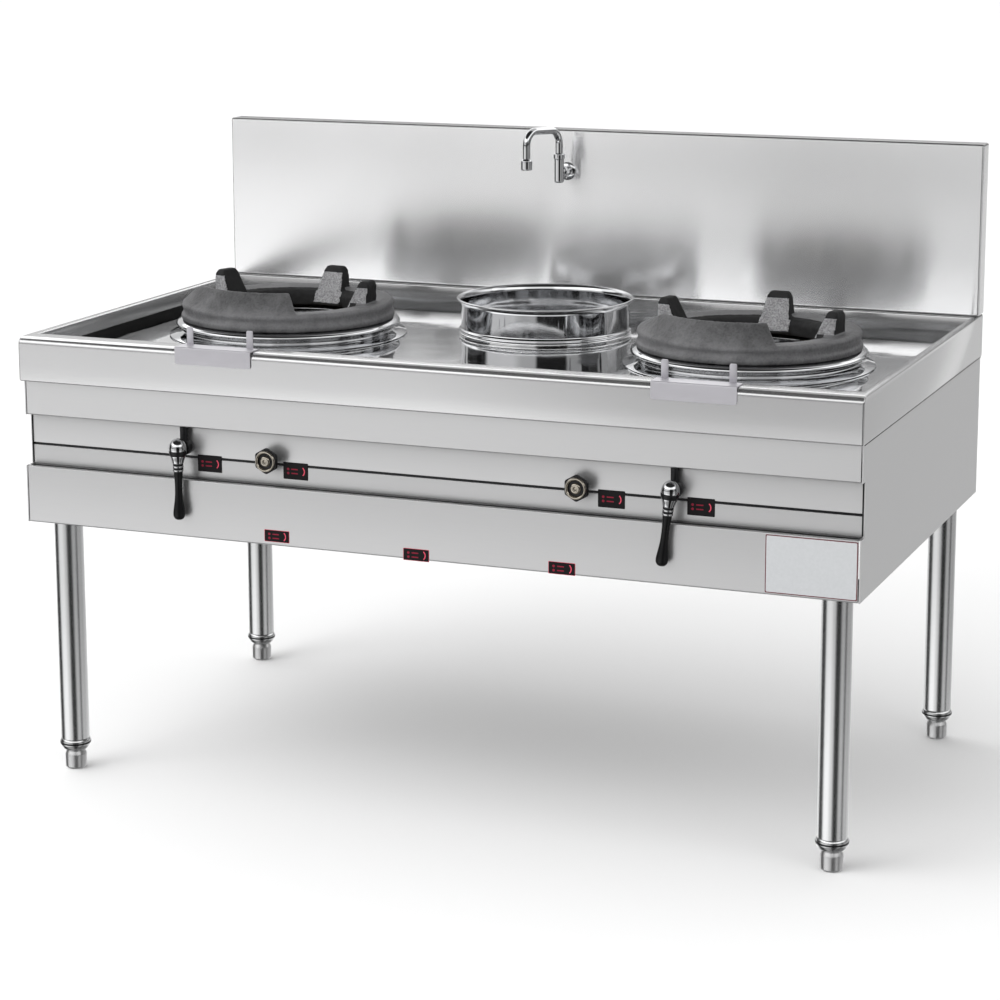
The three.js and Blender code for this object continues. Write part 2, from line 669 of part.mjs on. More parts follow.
for (const [name, side] of Object.entries(SIDES)) {
  const x = side * VALVE_X;
  const pilotX = side * PILOT_X;
  add(`valve_body_${name}`, valveBody(x), pipeSteel);
  add(`lever_head_${name}`, onLever(leverHead(), name, x), chrome);
  add(`lever_grip_${name}`, onLever(leverGrip(), name, x), blackGrip);
  add(`feed_pipe_${name}`, pipe([
    [x, 98 + GAP, VALVE_Z],
    [x, 150, VALVE_Z],
    [x, 170, MIX_TUBE_Z],
    [x, BURNER_DEPTH - 207, MIX_TUBE_Z],
  ], 8, 16, 8, 3), brass);
  add(`pilot_body_${name}`, pilotBody(pilotX), brass);
  add(`pilot_knob_${name}`, pilotKnob(pilotX), brass);
  const pilotTip = side * (BURNER_X - 69);
  add(`pilot_tube_${name}`, pipe([
    [pilotX, 92 + GAP, PILOT_Z],
    [pilotX, 130, PILOT_Z],
    [pilotX, 160, 556],
    [pilotTip, 300, 556],
    [pilotTip, BURNER_DEPTH, 556],
    [pilotTip, BURNER_DEPTH, 628],
  ], 4, 16, 6, 2), brass);
}

// ---- Soup pot and well ------------------------------------------------------------------------
add('well_collar', placed(turned([
  [DECK_HOLE + 1, DECK_TOP + GAP], [158, DECK_TOP + GAP], [158, 754], [156, WELL_COLLAR_TOP],
  [DECK_HOLE + 1, WELL_COLLAR_TOP],
], LARGE_ROUND), 0, POT_DEPTH), mirrorSteel);

// Open-topped jacket under the deck that keeps the pot warm, with an outlet in its floor.
add('well_jacket', placed(turned([
  [26, 606], [162, 606], [162, DECK_TOP - SHEET - GAP], [160, DECK_TOP - SHEET - GAP], [160, 608],
  [26, 608],
], MIDDLE_ROUND), 0, POT_DEPTH), pipeSteel);

add('soup_pot', placed(turned([
  [0, POT_BOTTOM], [125, POT_BOTTOM], [142, 643], [149, 658], [149.5, WELL_COLLAR_TOP + GAP],
  [157, WELL_COLLAR_TOP + GAP], [157.5, 760], [POT_RADIUS, 763.5], [POT_RADIUS, 808],
  [157, 812], [POT_RIM, 814], [POT_RIM, POT_TOP - 1], [159, POT_TOP], [155, 814.5], [152, 808],
  [152, 764], [147.5, 757], [147, 659], [141, 645.5], [124.5, 640.5], [0, 640.5],
], LARGE_ROUND), 0, POT_DEPTH), mirrorSteel);

// ---- Splashback and tap ----------------------------------------------------------------------
const splashInside = [-HALF + SHEET, HALF - SHEET];
add('splashback', cut(
  block([-HALF, HALF], [SPLASH_FRONT, DEPTH], [RIM_TOP + GAP, SPLASH_TOP]),
  block(splashInside, [SPLASH_FRONT + SHEET, DEPTH + 1], [RIM_TOP + GAP + SHEET, SPLASH_TOP - SHEET]),
  depthBar(10, TAP_X, [SPLASH_FRONT - 1, SPLASH_FRONT + 5], TAP_Z, SMALL_ROUND),
  placed(rod(10, [RIM_TOP - 1, RIM_TOP + 5], SMALL_ROUND), TAP_X, WATER_PIPE_DEPTH),
), satinSteel);

const coverX = grow(splashInside, -GAP);
const coverZ = [RIM_TOP + SHEET + 2 * GAP, SPLASH_TOP - SHEET - GAP];
add('splash_cover', cut(
  block(coverX, [DEPTH - 12, DEPTH - 1], coverZ),
  block(grow(coverX, -SHEET), [DEPTH - 13, DEPTH - 1 - SHEET], grow(coverZ, -SHEET)),
), satinSteel);

// Tap body: wall flange, elbow and upright barrel with a gland nut.
add('tap_body', join(
  depthBar(17, TAP_X, [SPLASH_FRONT - 5, SPLASH_FRONT - GAP], TAP_Z, MIDDLE_ROUND),
  depthBar(9, TAP_X, [TAP_DEPTH, 818], TAP_Z, SMALL_ROUND),
  depthBar(13, TAP_X, [TAP_DEPTH + 14, TAP_DEPTH + 26], TAP_Z, 6),
  placed(turned([
    [0, 1005], [7.5, 1005], [9, 1007], [9, BARREL_TOP - 11], [10.5, BARREL_TOP - 10],
    [10.5, BARREL_TOP - 2], [9, BARREL_TOP], [0, BARREL_TOP],
  ], MIDDLE_ROUND), TAP_X, TAP_DEPTH),
), chrome);

// Swing spout: riser, level run towards the pot, and a down-turned end with an aerator.
function tapSpout() {
  const tip = { x: TAP_X + SPOUT_REACH.x, depth: TAP_DEPTH + SPOUT_REACH.depth };
  const tube = pipe([
    [TAP_X, TAP_DEPTH, BARREL_TOP + GAP],
    [TAP_X, TAP_DEPTH, SPOUT_CREST],
    [tip.x, tip.depth, SPOUT_CREST + 5],
    [tip.x, tip.depth, NOZZLE_BOTTOM + 10],
  ], TAP_TUBE, 26, SMALL_ROUND, 4);
  const aerator = placed(turned([
    [0, NOZZLE_BOTTOM], [10, NOZZLE_BOTTOM], [10.5, NOZZLE_BOTTOM + 2], [10.5, NOZZLE_BOTTOM + 17],
    [7, NOZZLE_BOTTOM + 21], [0, NOZZLE_BOTTOM + 21],
  ], SMALL_ROUND), tip.x, tip.depth);
  return join(tube, aerator);
}
add('tap_spout', tapSpout(), chrome);

// Supply from the tap down inside the splashback and the rear rim to an inlet at the back.
add('water_pipe', pipe([
  [TAP_X, 818 + GAP, TAP_Z],
  [TAP_X, WATER_PIPE_DEPTH, TAP_Z],
  [TAP_X, WATER_PIPE_DEPTH, WATER_INLET_Z],
  [TAP_X, DEPTH - 1, WATER_INLET_Z],
], 7.5, 9, 8, 2), pipeSteel);

export default range;
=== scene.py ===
"""The looks of a two-ring gas wok range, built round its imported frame.

Lengths in the shape code are millimetres: x from the middle to the right, depth behind the front
face of the worktop's rim, and height above the floor.
"""

import json
import math

import bmesh
import bpy
from bpy.props import FloatProperty, FloatVectorProperty, IntProperty, PointerProperty
from mathutils import Matrix, Vector, noise


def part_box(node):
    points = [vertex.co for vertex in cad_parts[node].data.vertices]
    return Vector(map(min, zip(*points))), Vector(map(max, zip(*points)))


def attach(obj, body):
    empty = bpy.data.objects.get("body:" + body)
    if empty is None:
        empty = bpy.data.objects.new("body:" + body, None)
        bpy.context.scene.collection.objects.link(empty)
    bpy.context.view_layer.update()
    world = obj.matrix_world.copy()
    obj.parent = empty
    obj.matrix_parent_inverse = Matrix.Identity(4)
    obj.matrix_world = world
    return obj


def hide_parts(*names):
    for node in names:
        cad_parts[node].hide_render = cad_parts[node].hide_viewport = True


bl_info = {
    "name": "Wok range",
    "version": (1, 0, 0),
    "blender": (4, 5, 0),
    "location": "3D View > Sidebar > Wok range",
    "description": "Builds the visible pieces, finishes and studio of a two-ring gas wok range",
    "category": "Object",
}

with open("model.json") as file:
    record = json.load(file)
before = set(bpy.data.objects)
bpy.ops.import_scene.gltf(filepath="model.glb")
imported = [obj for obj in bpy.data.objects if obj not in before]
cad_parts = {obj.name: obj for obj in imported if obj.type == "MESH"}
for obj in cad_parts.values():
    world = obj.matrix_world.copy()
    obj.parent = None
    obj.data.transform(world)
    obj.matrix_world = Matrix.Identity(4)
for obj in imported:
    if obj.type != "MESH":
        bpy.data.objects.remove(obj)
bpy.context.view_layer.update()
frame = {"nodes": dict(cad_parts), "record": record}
RECORD = frame["record"]
BODY_OF = {node: body for body, nodes in RECORD["behaviour"]["bodies"].items() for node in nodes}
SIDES = {"left": -1, "right": 1}
LEGS = ["front_left", "front_right", "rear_left", "rear_right"]

MM = 0.001
RIM_LOW, RIM_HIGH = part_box("rim_frame")
FRONT = RIM_LOW.y
TURN = 2 * math.pi
SIDES_OF_TUBES = 96
PLATE_GROUND = 0.45  # how far the ground of a small plate stands out, in millimetres


# ---- Sizes and colours a user would change ----


def size(name, description, default):
    """A length in metres, shown in the scene's own unit."""
    return FloatProperty(
        name=name, description=description, default=default, min=0.0, precision=4, unit="LENGTH"
    )


def colour(name, description, default):
    """A colour in linear light."""
    return FloatVectorProperty(
        name=name, description=description, default=default, min=0.0, max=1.0, subtype="COLOR"
    )


def angle(name, description, default):
    """An angle, shown in degrees."""
    return FloatProperty(name=name, description=description, default=default, subtype="ANGLE")


class WokRangeSizes(bpy.types.PropertyGroup):
    """Sizes that the look adds to the frame's own"""

    sheet: size("Sheet", "Thickness of the folded sheets", 0.002)
    rim_fold: size("Rim fold", "Outer radius of the worktop's front fold", 0.013)
    rim_corner: size("Rim corner", "Outer radius of the worktop's other edges", 0.003)
    hem: size("Hem", "Width of the flange turned in under the worktop's apron", 0.008)
    splash_fold: size("Splashback fold", "Outer radius of the splashback's edges", 0.004)
    ledge_front: size("Front ledge", "Width of the worktop in front of the deck", 0.045)
    recess_back: size("Recess back", "Where the recess ends behind the rim's front", 0.806)
    side_rim: size("Side rim", "Width of the worktop at each side", 0.014)
    skirt: size("Skirt", "How far the rim turns down inside the recess", 0.028)
    casting_grain: size("Casting grain", "How far the sand-cast skin rises and falls", 0.0006)
    casting_voxel: size("Casting voxel", "Fineness of the rings' cast skin", 0.0021)
    round_sides: IntProperty(
        name="Round sides", description="Sides of the large turned pieces", default=128, min=24
    )


class WokRangeColours(bpy.types.PropertyGroup):
    """Colours of the finishes"""

    satin: colour("Satin steel", "Brushed stainless sheet", (0.57, 0.57, 0.573))
    mirror: colour("Mirror steel", "Polished stainless sheet", (0.80, 0.805, 0.81))
    bright: colour("Bright sheet", "Half-polished sheet of the splashback", (0.87, 0.87, 0.875))
    iron: colour("Cast iron", "Sand-cast iron", (0.150, 0.150, 0.154))
    plating: colour("Plating", "Chrome of levers, collars, pot and tap", (0.62, 0.625, 0.635))
    key_plating: colour("Key plating", "Warm plating of the pilot keys", (0.42, 0.385, 0.33))
    grip: colour("Grip", "Moulded black grip", (0.012, 0.012, 0.013))
    brass: colour("Brass", "Pipes and cocks", (0.62, 0.47, 0.22))
    pipe: colour("Pipe steel", "Plain steel inside the cabinet", (0.30, 0.305, 0.31))
    brick: colour("Firebrick", "Lining of the fire bowls", (0.46, 0.37, 0.29))
    rest: colour("Rest coating", "Matt coating of the rim rests", (0.50, 0.49, 0.52))
    plate: colour("Plate ground", "Ground of the small plates", (0.004, 0.003, 0.004))
    mark: colour("Plate mark", "Dots and bars of the plates", (0.20, 0.008, 0.025))
    arc: colour("Plate arc", "Arcs on the small plates and edges of some", (0.55, 0.06, 0.10))
    plate_edge: colour("Plate edge", "Edge of the large plate", (0.10, 0.008, 0.015))
    bare_plate: colour("Bare plate", "Large plate left without words", (0.43, 0.44, 0.45))
    floor: colour("Floor", "Studio floor", (0.86, 0.86, 0.86))


class WokRangeCamera(bpy.types.PropertyGroup):
    """Where the range is seen from"""

    yaw: angle("Yaw", "Turn of the view to the left", 0.383)
    pitch: angle("Pitch", "Tilt of the view downwards", 0.1924)
    roll: angle("Roll", "Lean of the view", -0.0016)
    distance: size("Distance", "From the camera to its target", 4.8663)
    lens: FloatProperty(name="Lens", description="Focal length in millimetres", default=98.87)
    shift: FloatProperty(name="Shift", description="Upward shift of the sensor", default=-0.1)
    target: FloatVectorProperty(
        name="Target",
        description="Point in the middle of the view",
        default=(-0.01214, -0.01575, 0.6585),
        subtype="TRANSLATION",
    )


# ---- Finishes ----


class Value:
    """A number or colour inside a finish. Sums written on it become Math nodes."""

    def __init__(self, recipe, socket):
        self.recipe = recipe
        self.socket = socket

    def math(self, operation, *terms):
        """A Math node fed with this value first and then the terms."""
        sockets = dict(enumerate((self, *terms)))
        return self.recipe.node("ShaderNodeMath", {"operation": operation}, sockets)

    def __add__(self, other):
        return self.math("ADD", other)

    __radd__ = __add__

    def __mul__(self, other):
        return self.math("MULTIPLY", other)

    def __sub__(self, other):
        return self.math("SUBTRACT", other)

    def output(self, name):
        """Another output of the same node."""
        return Value(self.recipe, self.socket.node.outputs[name])


class Recipe:
    """The nodes of one finish, or of the studio's surroundings."""

    def __init__(self, tree):
        self.tree = tree
        self.colours = bpy.context.scene.wok_range_colours
        tree.nodes.clear()

    def node(self, kind, settings=None, sockets=None, output=0):
        """Adds a node: its settings first, then the values or links of its sockets."""
        node = self.tree.nodes.new(kind)
        for name, value in (settings or {}).items():
            if name == "stops":
                elements = node.color_ramp.elements
                while len(elements) < len(value):
                    elements.new(0.5)
                for element, (place, level) in zip(elements, value):
                    element.position = place
                    element.color = (level, level, level, 1)
            else:
                setattr(node, name, value)
        for name, value in (sockets or {}).items():
            if isinstance(value, Value):
                self.tree.links.new(value.socket, node.inputs[name])
            else:
                node.inputs[name].default_value = value
        return Value(self, node.outputs[output]) if node.outputs else None

    def place(self):
        """The place on the object, in metres from the middle of the floor at rest."""
        return self.node("ShaderNodeTexCoord").output("Object")

    def along(self, axis):
        """How far along X, Y or Z a place is."""
        return self.node("ShaderNodeSeparateXYZ", sockets={"Vector": self.place()}).output(axis)

    def noise(self, scale, detail=3.0, stretch=(1, 1, 1), roughness=0.5):
        """Noise on the object, drawn out along the axes that stretch makes small."""
        sockets = {"Vector": self.place(), "Scale": stretch}
        place = self.node("ShaderNodeMapping", sockets=sockets)
        sockets = {"Vector": place, "Scale": scale, "Detail": detail, "Roughness": roughness}
        return self.node("ShaderNodeTexNoise", sockets=sockets)

    def ramp(self, factor, *stops):
        """A value eased through (place, level) stops."""
        return self.node("ShaderNodeValToRGB", {"stops": stops}, {"Fac": factor})

    def shade(self, name, factor):
        """A named colour made darker or lighter."""
        return (*(min(1.0, part * factor) for part in getattr(self.colours, name)), 1)

    def blend(self, factor, first, second):
        """A colour between two others: a Mix node has its colours in sockets 6 and 7."""
        sockets = {0: factor, 6: first, 7: second}
        return self.node("ShaderNodeMix", {"data_type": "RGBA"}, sockets, output=2)

    def tint(self, factor, name, first, second):
        """A colour between two shades of a named colour."""
        return self.blend(factor, self.shade(name, first), self.shade(name, second))

    def sand_cast(self):
        """The grains and the pits of a sand-cast skin."""
        sand = self.noise(620, 3, roughness=0.7)
        return sand, self.ramp(self.noise(260, 2), (0.3, 0), (0.55, 1))

    def bump(self, height, strength, depth):
        sockets = {"Height": height, "Strength": strength, "Distance": depth}
        return self.node("ShaderNodeBump", sockets=sockets)

    def surface(self, **sockets):
        """Ends the finish in one shader; underscores in the names stand for spaces."""
        named = {name.replace("_", " "): value for name, value in sockets.items()}
        shader = self.node("ShaderNodeBsdfPrincipled", sockets=named)
        self.node("ShaderNodeOutputMaterial", sockets={"Surface": shader})


def finish(build):
    """Makes a finish once for each of its settings, under its own name."""

    def made(*settings):
        name = "_".join(["finish", build.__name__, *map(str, settings)])
        material = bpy.data.materials.get(name)
        if material is None:
            material = bpy.data.materials.new(name)
            material.use_nodes = True
            build(Recipe(material.node_tree), *settings)
        return material

    return made


GRAIN = {"level": (0.02, 0.02, 1), "x": (0.02, 1, 1), "y": (1, 0.02, 1), "z": (1, 1, 0.02)}


@finish
def satin_steel(recipe, grain, dullness):
    """Brushed sheet with its grain along one axis and faint clouds."""
    marks = recipe.noise(900, 4, GRAIN[grain], 0.7)
    clouds = recipe.noise(2.2, 2)
    recipe.surface(
        Base_Color=recipe.tint(marks * 0.5 + clouds * 0.5, "satin", 0.94, 1.06),
        Metallic=0.9,
        Roughness=dullness + marks * 0.06 + clouds * 0.05,
        Anisotropic=0.5,
        Anisotropic_Rotation=0.25,
        Normal=recipe.bump(marks, 0.04, 0.0002),
    )


@finish
def bright_sheet(recipe):
    """Half-polished sheet, its fine grain drawing reflections out upwards, with painted shade along
    the top.
    """
    marks = recipe.noise(700, 4, GRAIN["x"], 0.7)
    clouds = recipe.noise(3, 3)
    # Painted shade: a dark band along the top fold.
    fold = recipe.ramp(recipe.along("Z") * 100 - 109, (0.6, 0), (0.75, 1))
    sheet = recipe.tint(clouds, "bright", 0.96, 1.04)
    recipe.surface(
        Base_Color=recipe.blend(fold, sheet, recipe.shade("bright", 0.25)),
        Metallic=0.85,
        Roughness=0.15 + marks * 0.03 + clouds * 0.04,
        Anisotropic=0.95,
        Anisotropic_Rotation=0.25,
        Normal=recipe.bump(marks, 0.02, 0.0002),
    )


@finish
def polished_tube(recipe):
    """Drawn tube, its lengthwise grain spreading reflections round it."""
    marks = recipe.noise(500, 3, GRAIN["z"], 0.6)
    clouds = recipe.noise(12, 3)
    recipe.surface(
        Base_Color=recipe.tint(marks * 0.5 + clouds * 0.5, "mirror", 0.76, 0.92),
        Metallic=1.0,
        Roughness=0.19 + marks * 0.04 + clouds * 0.05,
        Anisotropic=0.5,
        Normal=recipe.bump(marks, 0.04, 0.0002),
    )


@finish
def mirror_steel(recipe):
    """Polished sheet with water marks and a slight waviness."""
    clouds = recipe.noise(5, 3)
    spots = recipe.ramp(recipe.noise(45, 3), (0.58, 0), (0.72, 1))
    recipe.surface(
        Base_Color=recipe.tint(clouds, "mirror", 0.94, 1.05),
        Metallic=1.0,
        Roughness=0.04 + clouds * 0.04 + spots * 0.05,
        Normal=recipe.bump(recipe.noise(9, 1), 0.5, 0.002),
    )


@finish
def smoked_steel(recipe):
    """Polished wall round the deck, painted near-black as shade under the rim's sides."""
    # Painted shade: the wall turns near-black towards the sides, where it runs under the rim.
    painted_shade = recipe.ramp(recipe.along("X").math("ABSOLUTE"), (0.69, 0), (0.73, 1))
    streaks = recipe.noise(40, 4, GRAIN["z"])
    recipe.surface(
        Base_Color=recipe.tint(painted_shade, "mirror", 0.97, 0.01),
        Metallic=0.9,
        Roughness=0.05 + painted_shade * 0.35 + streaks * 0.05,
    )


@finish
def cast_iron(recipe):
    """Sand-cast skin: pits, mottled tone, and a dry sheen."""
    mottle = recipe.ramp(recipe.noise(11, 5, roughness=0.6), (0.36, 0), (0.64, 1))
    sand, pits = recipe.sand_cast()
    recipe.surface(
        Base_Color=recipe.tint(mottle * 0.55 + sand * 0.3 + pits * 0.15, "iron", 0.4, 1.9),
        Metallic=0.3,
        Roughness=0.55 + sand * 0.2 + mottle * 0.1,
        Normal=recipe.bump(sand * 0.6 + pits * 0.4, 0.7, 0.0006),
    )


@finish
def ring_iron(recipe):
    """Sand-cast skin of the rings, with a painted sheen in a band low on the outside that fades
    darker towards the top.
    """
    # Painted sheen: a light band low on the outer wall, darker higher up.
    painted_sheen = recipe.ramp(
        recipe.along("Z") * 10 - 7.8, (0.0, 0.1), (0.1, 0.7), (0.22, 1.0), (0.38, 0.5), (0.7, 0.15)
    )
    mottle = recipe.ramp(recipe.noise(17, 6, roughness=0.7), (0.38, 0), (0.62, 1))
    sand, pits = recipe.sand_cast()
    tone = painted_sheen * 0.4 + mottle * 0.3 + sand * 0.2 + pits * 0.1
    recipe.surface(
        Base_Color=recipe.tint(tone, "iron", 0.1, 1.65),
        Metallic=0.5,
        Roughness=0.42 + sand * 0.2 + mottle * 0.1,
        Normal=recipe.bump(sand * 0.6 + pits * 0.4, 0.7, 0.001),
    )


@finish
def sooty_iron(recipe):
    """Iron blackened by the flame and painted darker still as shade, with a dull sheen."""
    soot = recipe.noise(60, 4, roughness=0.65)
    recipe.surface(
        Base_Color=recipe.tint(soot, "iron", 0.03, 0.2),
        Roughness=0.5 + soot * 0.3,
        Specular_IOR_Level=0.15,
        Normal=recipe.bump(soot, 0.3, 0.001),
    )


@finish
def scoured_iron(recipe):
    """Iron worn bare where the wok sits and painted much lighter as lit faces, stippled by the
    mould.
    """
    stipple = recipe.ramp(recipe.noise(330, 3, roughness=0.7), (0.38, 0), (0.62, 1))
    clouds = recipe.noise(40, 3)
    recipe.surface(
        Base_Color=recipe.tint(stipple * 0.6 + clouds * 0.4, "iron", 1.2, 4.2),
        Metallic=0.6,
        Roughness=0.5 + stipple * 0.15,
        Normal=recipe.bump(stipple, 0.8, 0.0012),
    )


@finish
def chrome_plate(recipe):
    """Bright plating with fine polishing haze."""
    haze = recipe.noise(60, 3)
    recipe.surface(
        Base_Color=recipe.tint(haze, "plating", 0.95, 1.04),
        Metallic=1.0,
        Roughness=0.035 + haze * 0.04,
        Normal=recipe.bump(recipe.noise(40, 1), 0.1, 0.0008),
    )


@finish
def key_plate(recipe):
    """Worn plating with the brass showing warm through it."""
    wear = recipe.noise(120, 4)
    recipe.surface(
        Base_Color=recipe.tint(wear, "key_plating", 0.8, 1.15),
        Metallic=1.0,
        Roughness=0.08 + wear * 0.08,
        Normal=recipe.bump(recipe.noise(900, 2), 0.1, 0.0002),
    )


@finish
def black_grip(recipe):
    """Glossy moulded grip with a faint orange-peel skin."""
    dust = recipe.noise(35, 4)
    recipe.surface(
        Base_Color=recipe.tint(dust, "grip", 0.15, 0.5),
        Roughness=0.22 + dust * 0.14,
        Specular_IOR_Level=0.22,
        Normal=recipe.bump(recipe.noise(420, 2), 0.12, 0.0003),
    )


@finish
def black_metal(recipe):
    """Blackened metal of the bonnets, bands and dark fittings, and of the black strips of painted
    shade under the rim's sides, in the panel's groove and on the apron's ledge.
    """
    wear = recipe.noise(150, 4)
    recipe.surface(
        Base_Color=recipe.tint(wear, "grip", 0.4, 2.0),
        Metallic=0.6,
        Roughness=0.24 + wear * 0.2,
        Normal=recipe.bump(wear, 0.2, 0.0004),
    )


@finish
def brass(recipe):
    """Machined brass, dulled in patches."""
    dull = recipe.noise(70, 4)
    recipe.surface(
        Base_Color=recipe.tint(dull, "brass", 0.6, 1.2),
        Metallic=1.0,
        Roughness=0.25 + dull * 0.25,
        Normal=recipe.bump(recipe.noise(800, 3, GRAIN["x"]), 0.15, 0.0003),
    )


@finish
def pipe_steel(recipe, grain):
    """Plain mill steel with scale."""
    scale = recipe.noise(40, 5, roughness=0.65)
    marks = recipe.noise(500, 3, GRAIN[grain])
    recipe.surface(
        Base_Color=recipe.tint(scale, "pipe", 0.6, 1.5),
        Metallic=0.9,
        Roughness=0.35 + scale * 0.25,
        Normal=recipe.bump(scale * 0.5 + marks * 0.5, 0.25, 0.0005),
    )


@finish
def firebrick(recipe):
    """Rough refractory with dark grog and scorched patches."""
    scorch = recipe.noise(12, 4)
    grog = recipe.ramp(recipe.noise(260, 3), (0.35, 0), (0.6, 1))
    recipe.surface(
        Base_Color=recipe.tint(scorch * 0.5 + grog * 0.5, "brick", 0.45, 1.2),
        Roughness=0.95,
        Normal=recipe.bump(grog, 0.6, 0.0015),
    )


@finish
def rest_coating(recipe):
    """Matt coating of the rim rests, worn lighter in places."""
    grain = recipe.noise(900, 2)
    recipe.surface(
        Base_Color=recipe.tint(recipe.noise(30, 4, (0.4, 1, 1)), "rest", 0.86, 1.1),
        Metallic=0.7,
        Roughness=0.32 + grain * 0.12,
        Normal=recipe.bump(grain, 0.15, 0.0003),
    )


@finish
def printed(recipe, ground):
    """Ink or lacquer of the small plates, a little dusty."""
    dust = recipe.noise(240, 4)
    recipe.surface(
        Base_Color=recipe.tint(dust, ground, 0.94, 1.08),
        Roughness=0.4 + dust * 0.16,
        Specular_IOR_Level=0.2,
        Normal=recipe.bump(dust, 0.08, 0.0002),
    )


# ---- Shape tools ----


def point(x, depth, z):
    """A place given in millimetres: across, behind the rim's front face, above the floor."""
    return Vector((x * MM, FRONT + depth * MM, z * MM))


def at(x, depth, z):
    """Moves the origin to a place given in millimetres."""
    return Matrix.Translation(point(x, depth, z))


def middle(node):
    """The middle of a node's box."""
    low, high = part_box(node)
    return (low + high) / 2


def upright(node):
    """Turned heights are heights above the floor, round the middle of a node."""
    place = middle(node)
    return Matrix.Translation((place.x, place.y, 0))


def inward(x, z):
    """Turned heights are depths behind the rim's front face."""
    return at(x, 0, z) @ Matrix.Rotation(-TURN / 4, 4, "X")


def raised(x, depth, z):
    """Turned marks that stand off a plate's ground towards the cook."""
    return at(x, depth - PLATE_GROUND, z) @ Matrix.Rotation(TURN / 4, 4, "X")


def block_at(low, high):
    """Places a unit cube between two corners."""
    return Matrix.Translation((low + high) / 2) @ Matrix.Diagonal((*(high - low), 1))


def end_face(part, axis, pick=max):
    """The face furthest along an axis."""
    return pick(part.faces, key=lambda face: face.calc_center_median()[axis])


def moved(part, place):
    """The same shape at its place."""
    bmesh.ops.transform(part, matrix=place, verts=part.verts[:])
    return part


def bevel(part, geom, radius, affect, segments):
    """Rounds edges or corner points to an offset."""
    bmesh.ops.bevel(
        part,
        geom=geom,
        offset=radius,
        offset_type="OFFSET",
        affect=affect,
        segments=segments,
        profile=0.5,
        material=-1,
    )


def soften(part, radius, chosen=lambda edge: True, segments=3, sharp=0.6):
    """Rounds the chosen edges where the faces turn by more than the sharp angle."""
    edges = [edge for edge in part.edges if edge.calc_face_angle(0) > sharp and chosen(edge)]
    bevel(part, edges, radius, "EDGES", segments)


def wire(part, corners, closed):
    """Joins (across, up[, rounding]) corners, and rounds them with the vertex bevel."""
    verts = [part.verts.new((corner[0] * MM, 0, corner[1] * MM)) for corner in corners]
    for start, end in zip(verts, verts[1:] + verts[:1] if closed else verts[1:]):
        part.edges.new((start, end))
    roundings = {}
    for vert, corner in zip(verts, corners):
        if len(corner) > 2:
            roundings.setdefault(corner[2], []).append(vert)
    for rounding, marked in roundings.items():
        bevel(part, marked, rounding * MM, "VERTICES", 4)


def close(part):
    """Caps the open ends and turns every face outwards."""
    ends = [edge for edge in part.edges if edge.is_boundary]
    if ends:
        bmesh.ops.holes_fill(part, edges=ends, sides=0)
    bmesh.ops.recalc_face_normals(part, faces=part.faces[:])


def turned(profile, place=None, sides=64, sweep=TURN):
    """Spins a profile of (radius, height[, rounding]) corners; a profile off the axis is closed."""
    part = bmesh.new()
    wire(part, profile, closed=profile[0][0] > 0 and profile[-1][0] > 0)
    bmesh.ops.spin(
        part,
        geom=part.verts[:] + part.edges[:],
        cent=(0, 0, 0),
        axis=(0, 0, 1),
        angle=sweep,
        steps=sides,
        use_merge=sweep == TURN,
    )
    bmesh.ops.remove_doubles(part, verts=part.verts[:], dist=1e-7)
    close(part)
    return moved(part, place) if place is not None else part


def rod(radius, low, high, place, sides=32, rounding=0):
    """A bar between two heights, with few sides for a hexagon."""
    ends = [(radius, z, rounding) if rounding else (radius, z) for z in (low, high)]
    return turned([(0, low), *ends, (0, high)], place, sides)


def extruded(part, faces, step):
    """Draws faces out by a step; gives the points and the faces of the new end."""
    end = bmesh.ops.extrude_face_region(part, geom=faces)["geom"]
    verts = [item for item in end if isinstance(item, bmesh.types.BMVert)]
    bmesh.ops.translate(part, verts=verts, vec=step)
    return verts, [item for item in end if isinstance(item, bmesh.types.BMFace)]


def plate(outline, thickness, place, edge=0):
    """A flat plate of a rounded outline that grows towards the cook, its rims softened."""
    part = bmesh.new()
    wire(part, outline, closed=True)
    bmesh.ops.contextual_create(part, geom=part.edges[:])
    extruded(part, part.faces[:], (0, -thickness * MM, 0))
    bmesh.ops.recalc_face_normals(part, faces=part.faces[:])
    if edge:
        soften(part, edge * MM, segments=2, sharp=1.2)
    return moved(part, place)


def oblong(width, height, rounding):
    """Outline of a rectangle about its middle."""
    x, z = width / 2, height / 2
    return [(-x, -z, rounding), (x, -z, rounding), (x, z, rounding), (-x, z, rounding)]


def brick(low, high, rounding=0.5):
    """A block between two (x, depth, z) corners, with rounded edges."""
    part = bmesh.new()
    bmesh.ops.create_cube(part, size=1, matrix=block_at(point(*low), point(*high)))
    soften(part, rounding * MM, segments=2)
    return part


def thickened(part):
    """Gives a sheet its wall, on the side away from its faces."""
    sheet = bpy.context.scene.wok_range_sizes.sheet
    bmesh.ops.solidify(part, geom=part.faces[:], thickness=sheet)
    return part


def folded(line, span, outward):
    """A sheet folded along (depth, height[, rounding]) corners, running between two x values."""
    part = bmesh.new()
    wire(part, line, closed=False)
    moved(part, at(span[0], 0, 0) @ Matrix.Rotation(TURN / 4, 4, "Z"))
    width = ((span[1] - span[0]) * MM, 0, 0)
    geom = part.verts[:] + part.edges[:]
    bmesh.ops.spin(part, geom=geom, axis=(0, 0, 1), dvec=width, angle=0, steps=1)
    bmesh.ops.recalc_face_normals(part, faces=part.faces[:])
    part.normal_update()
    if sum(face.normal.dot(outward) * face.calc_area() for face in part.faces) < 0:
        bmesh.ops.reverse_faces(part, faces=part.faces[:])
    return thickened(part)


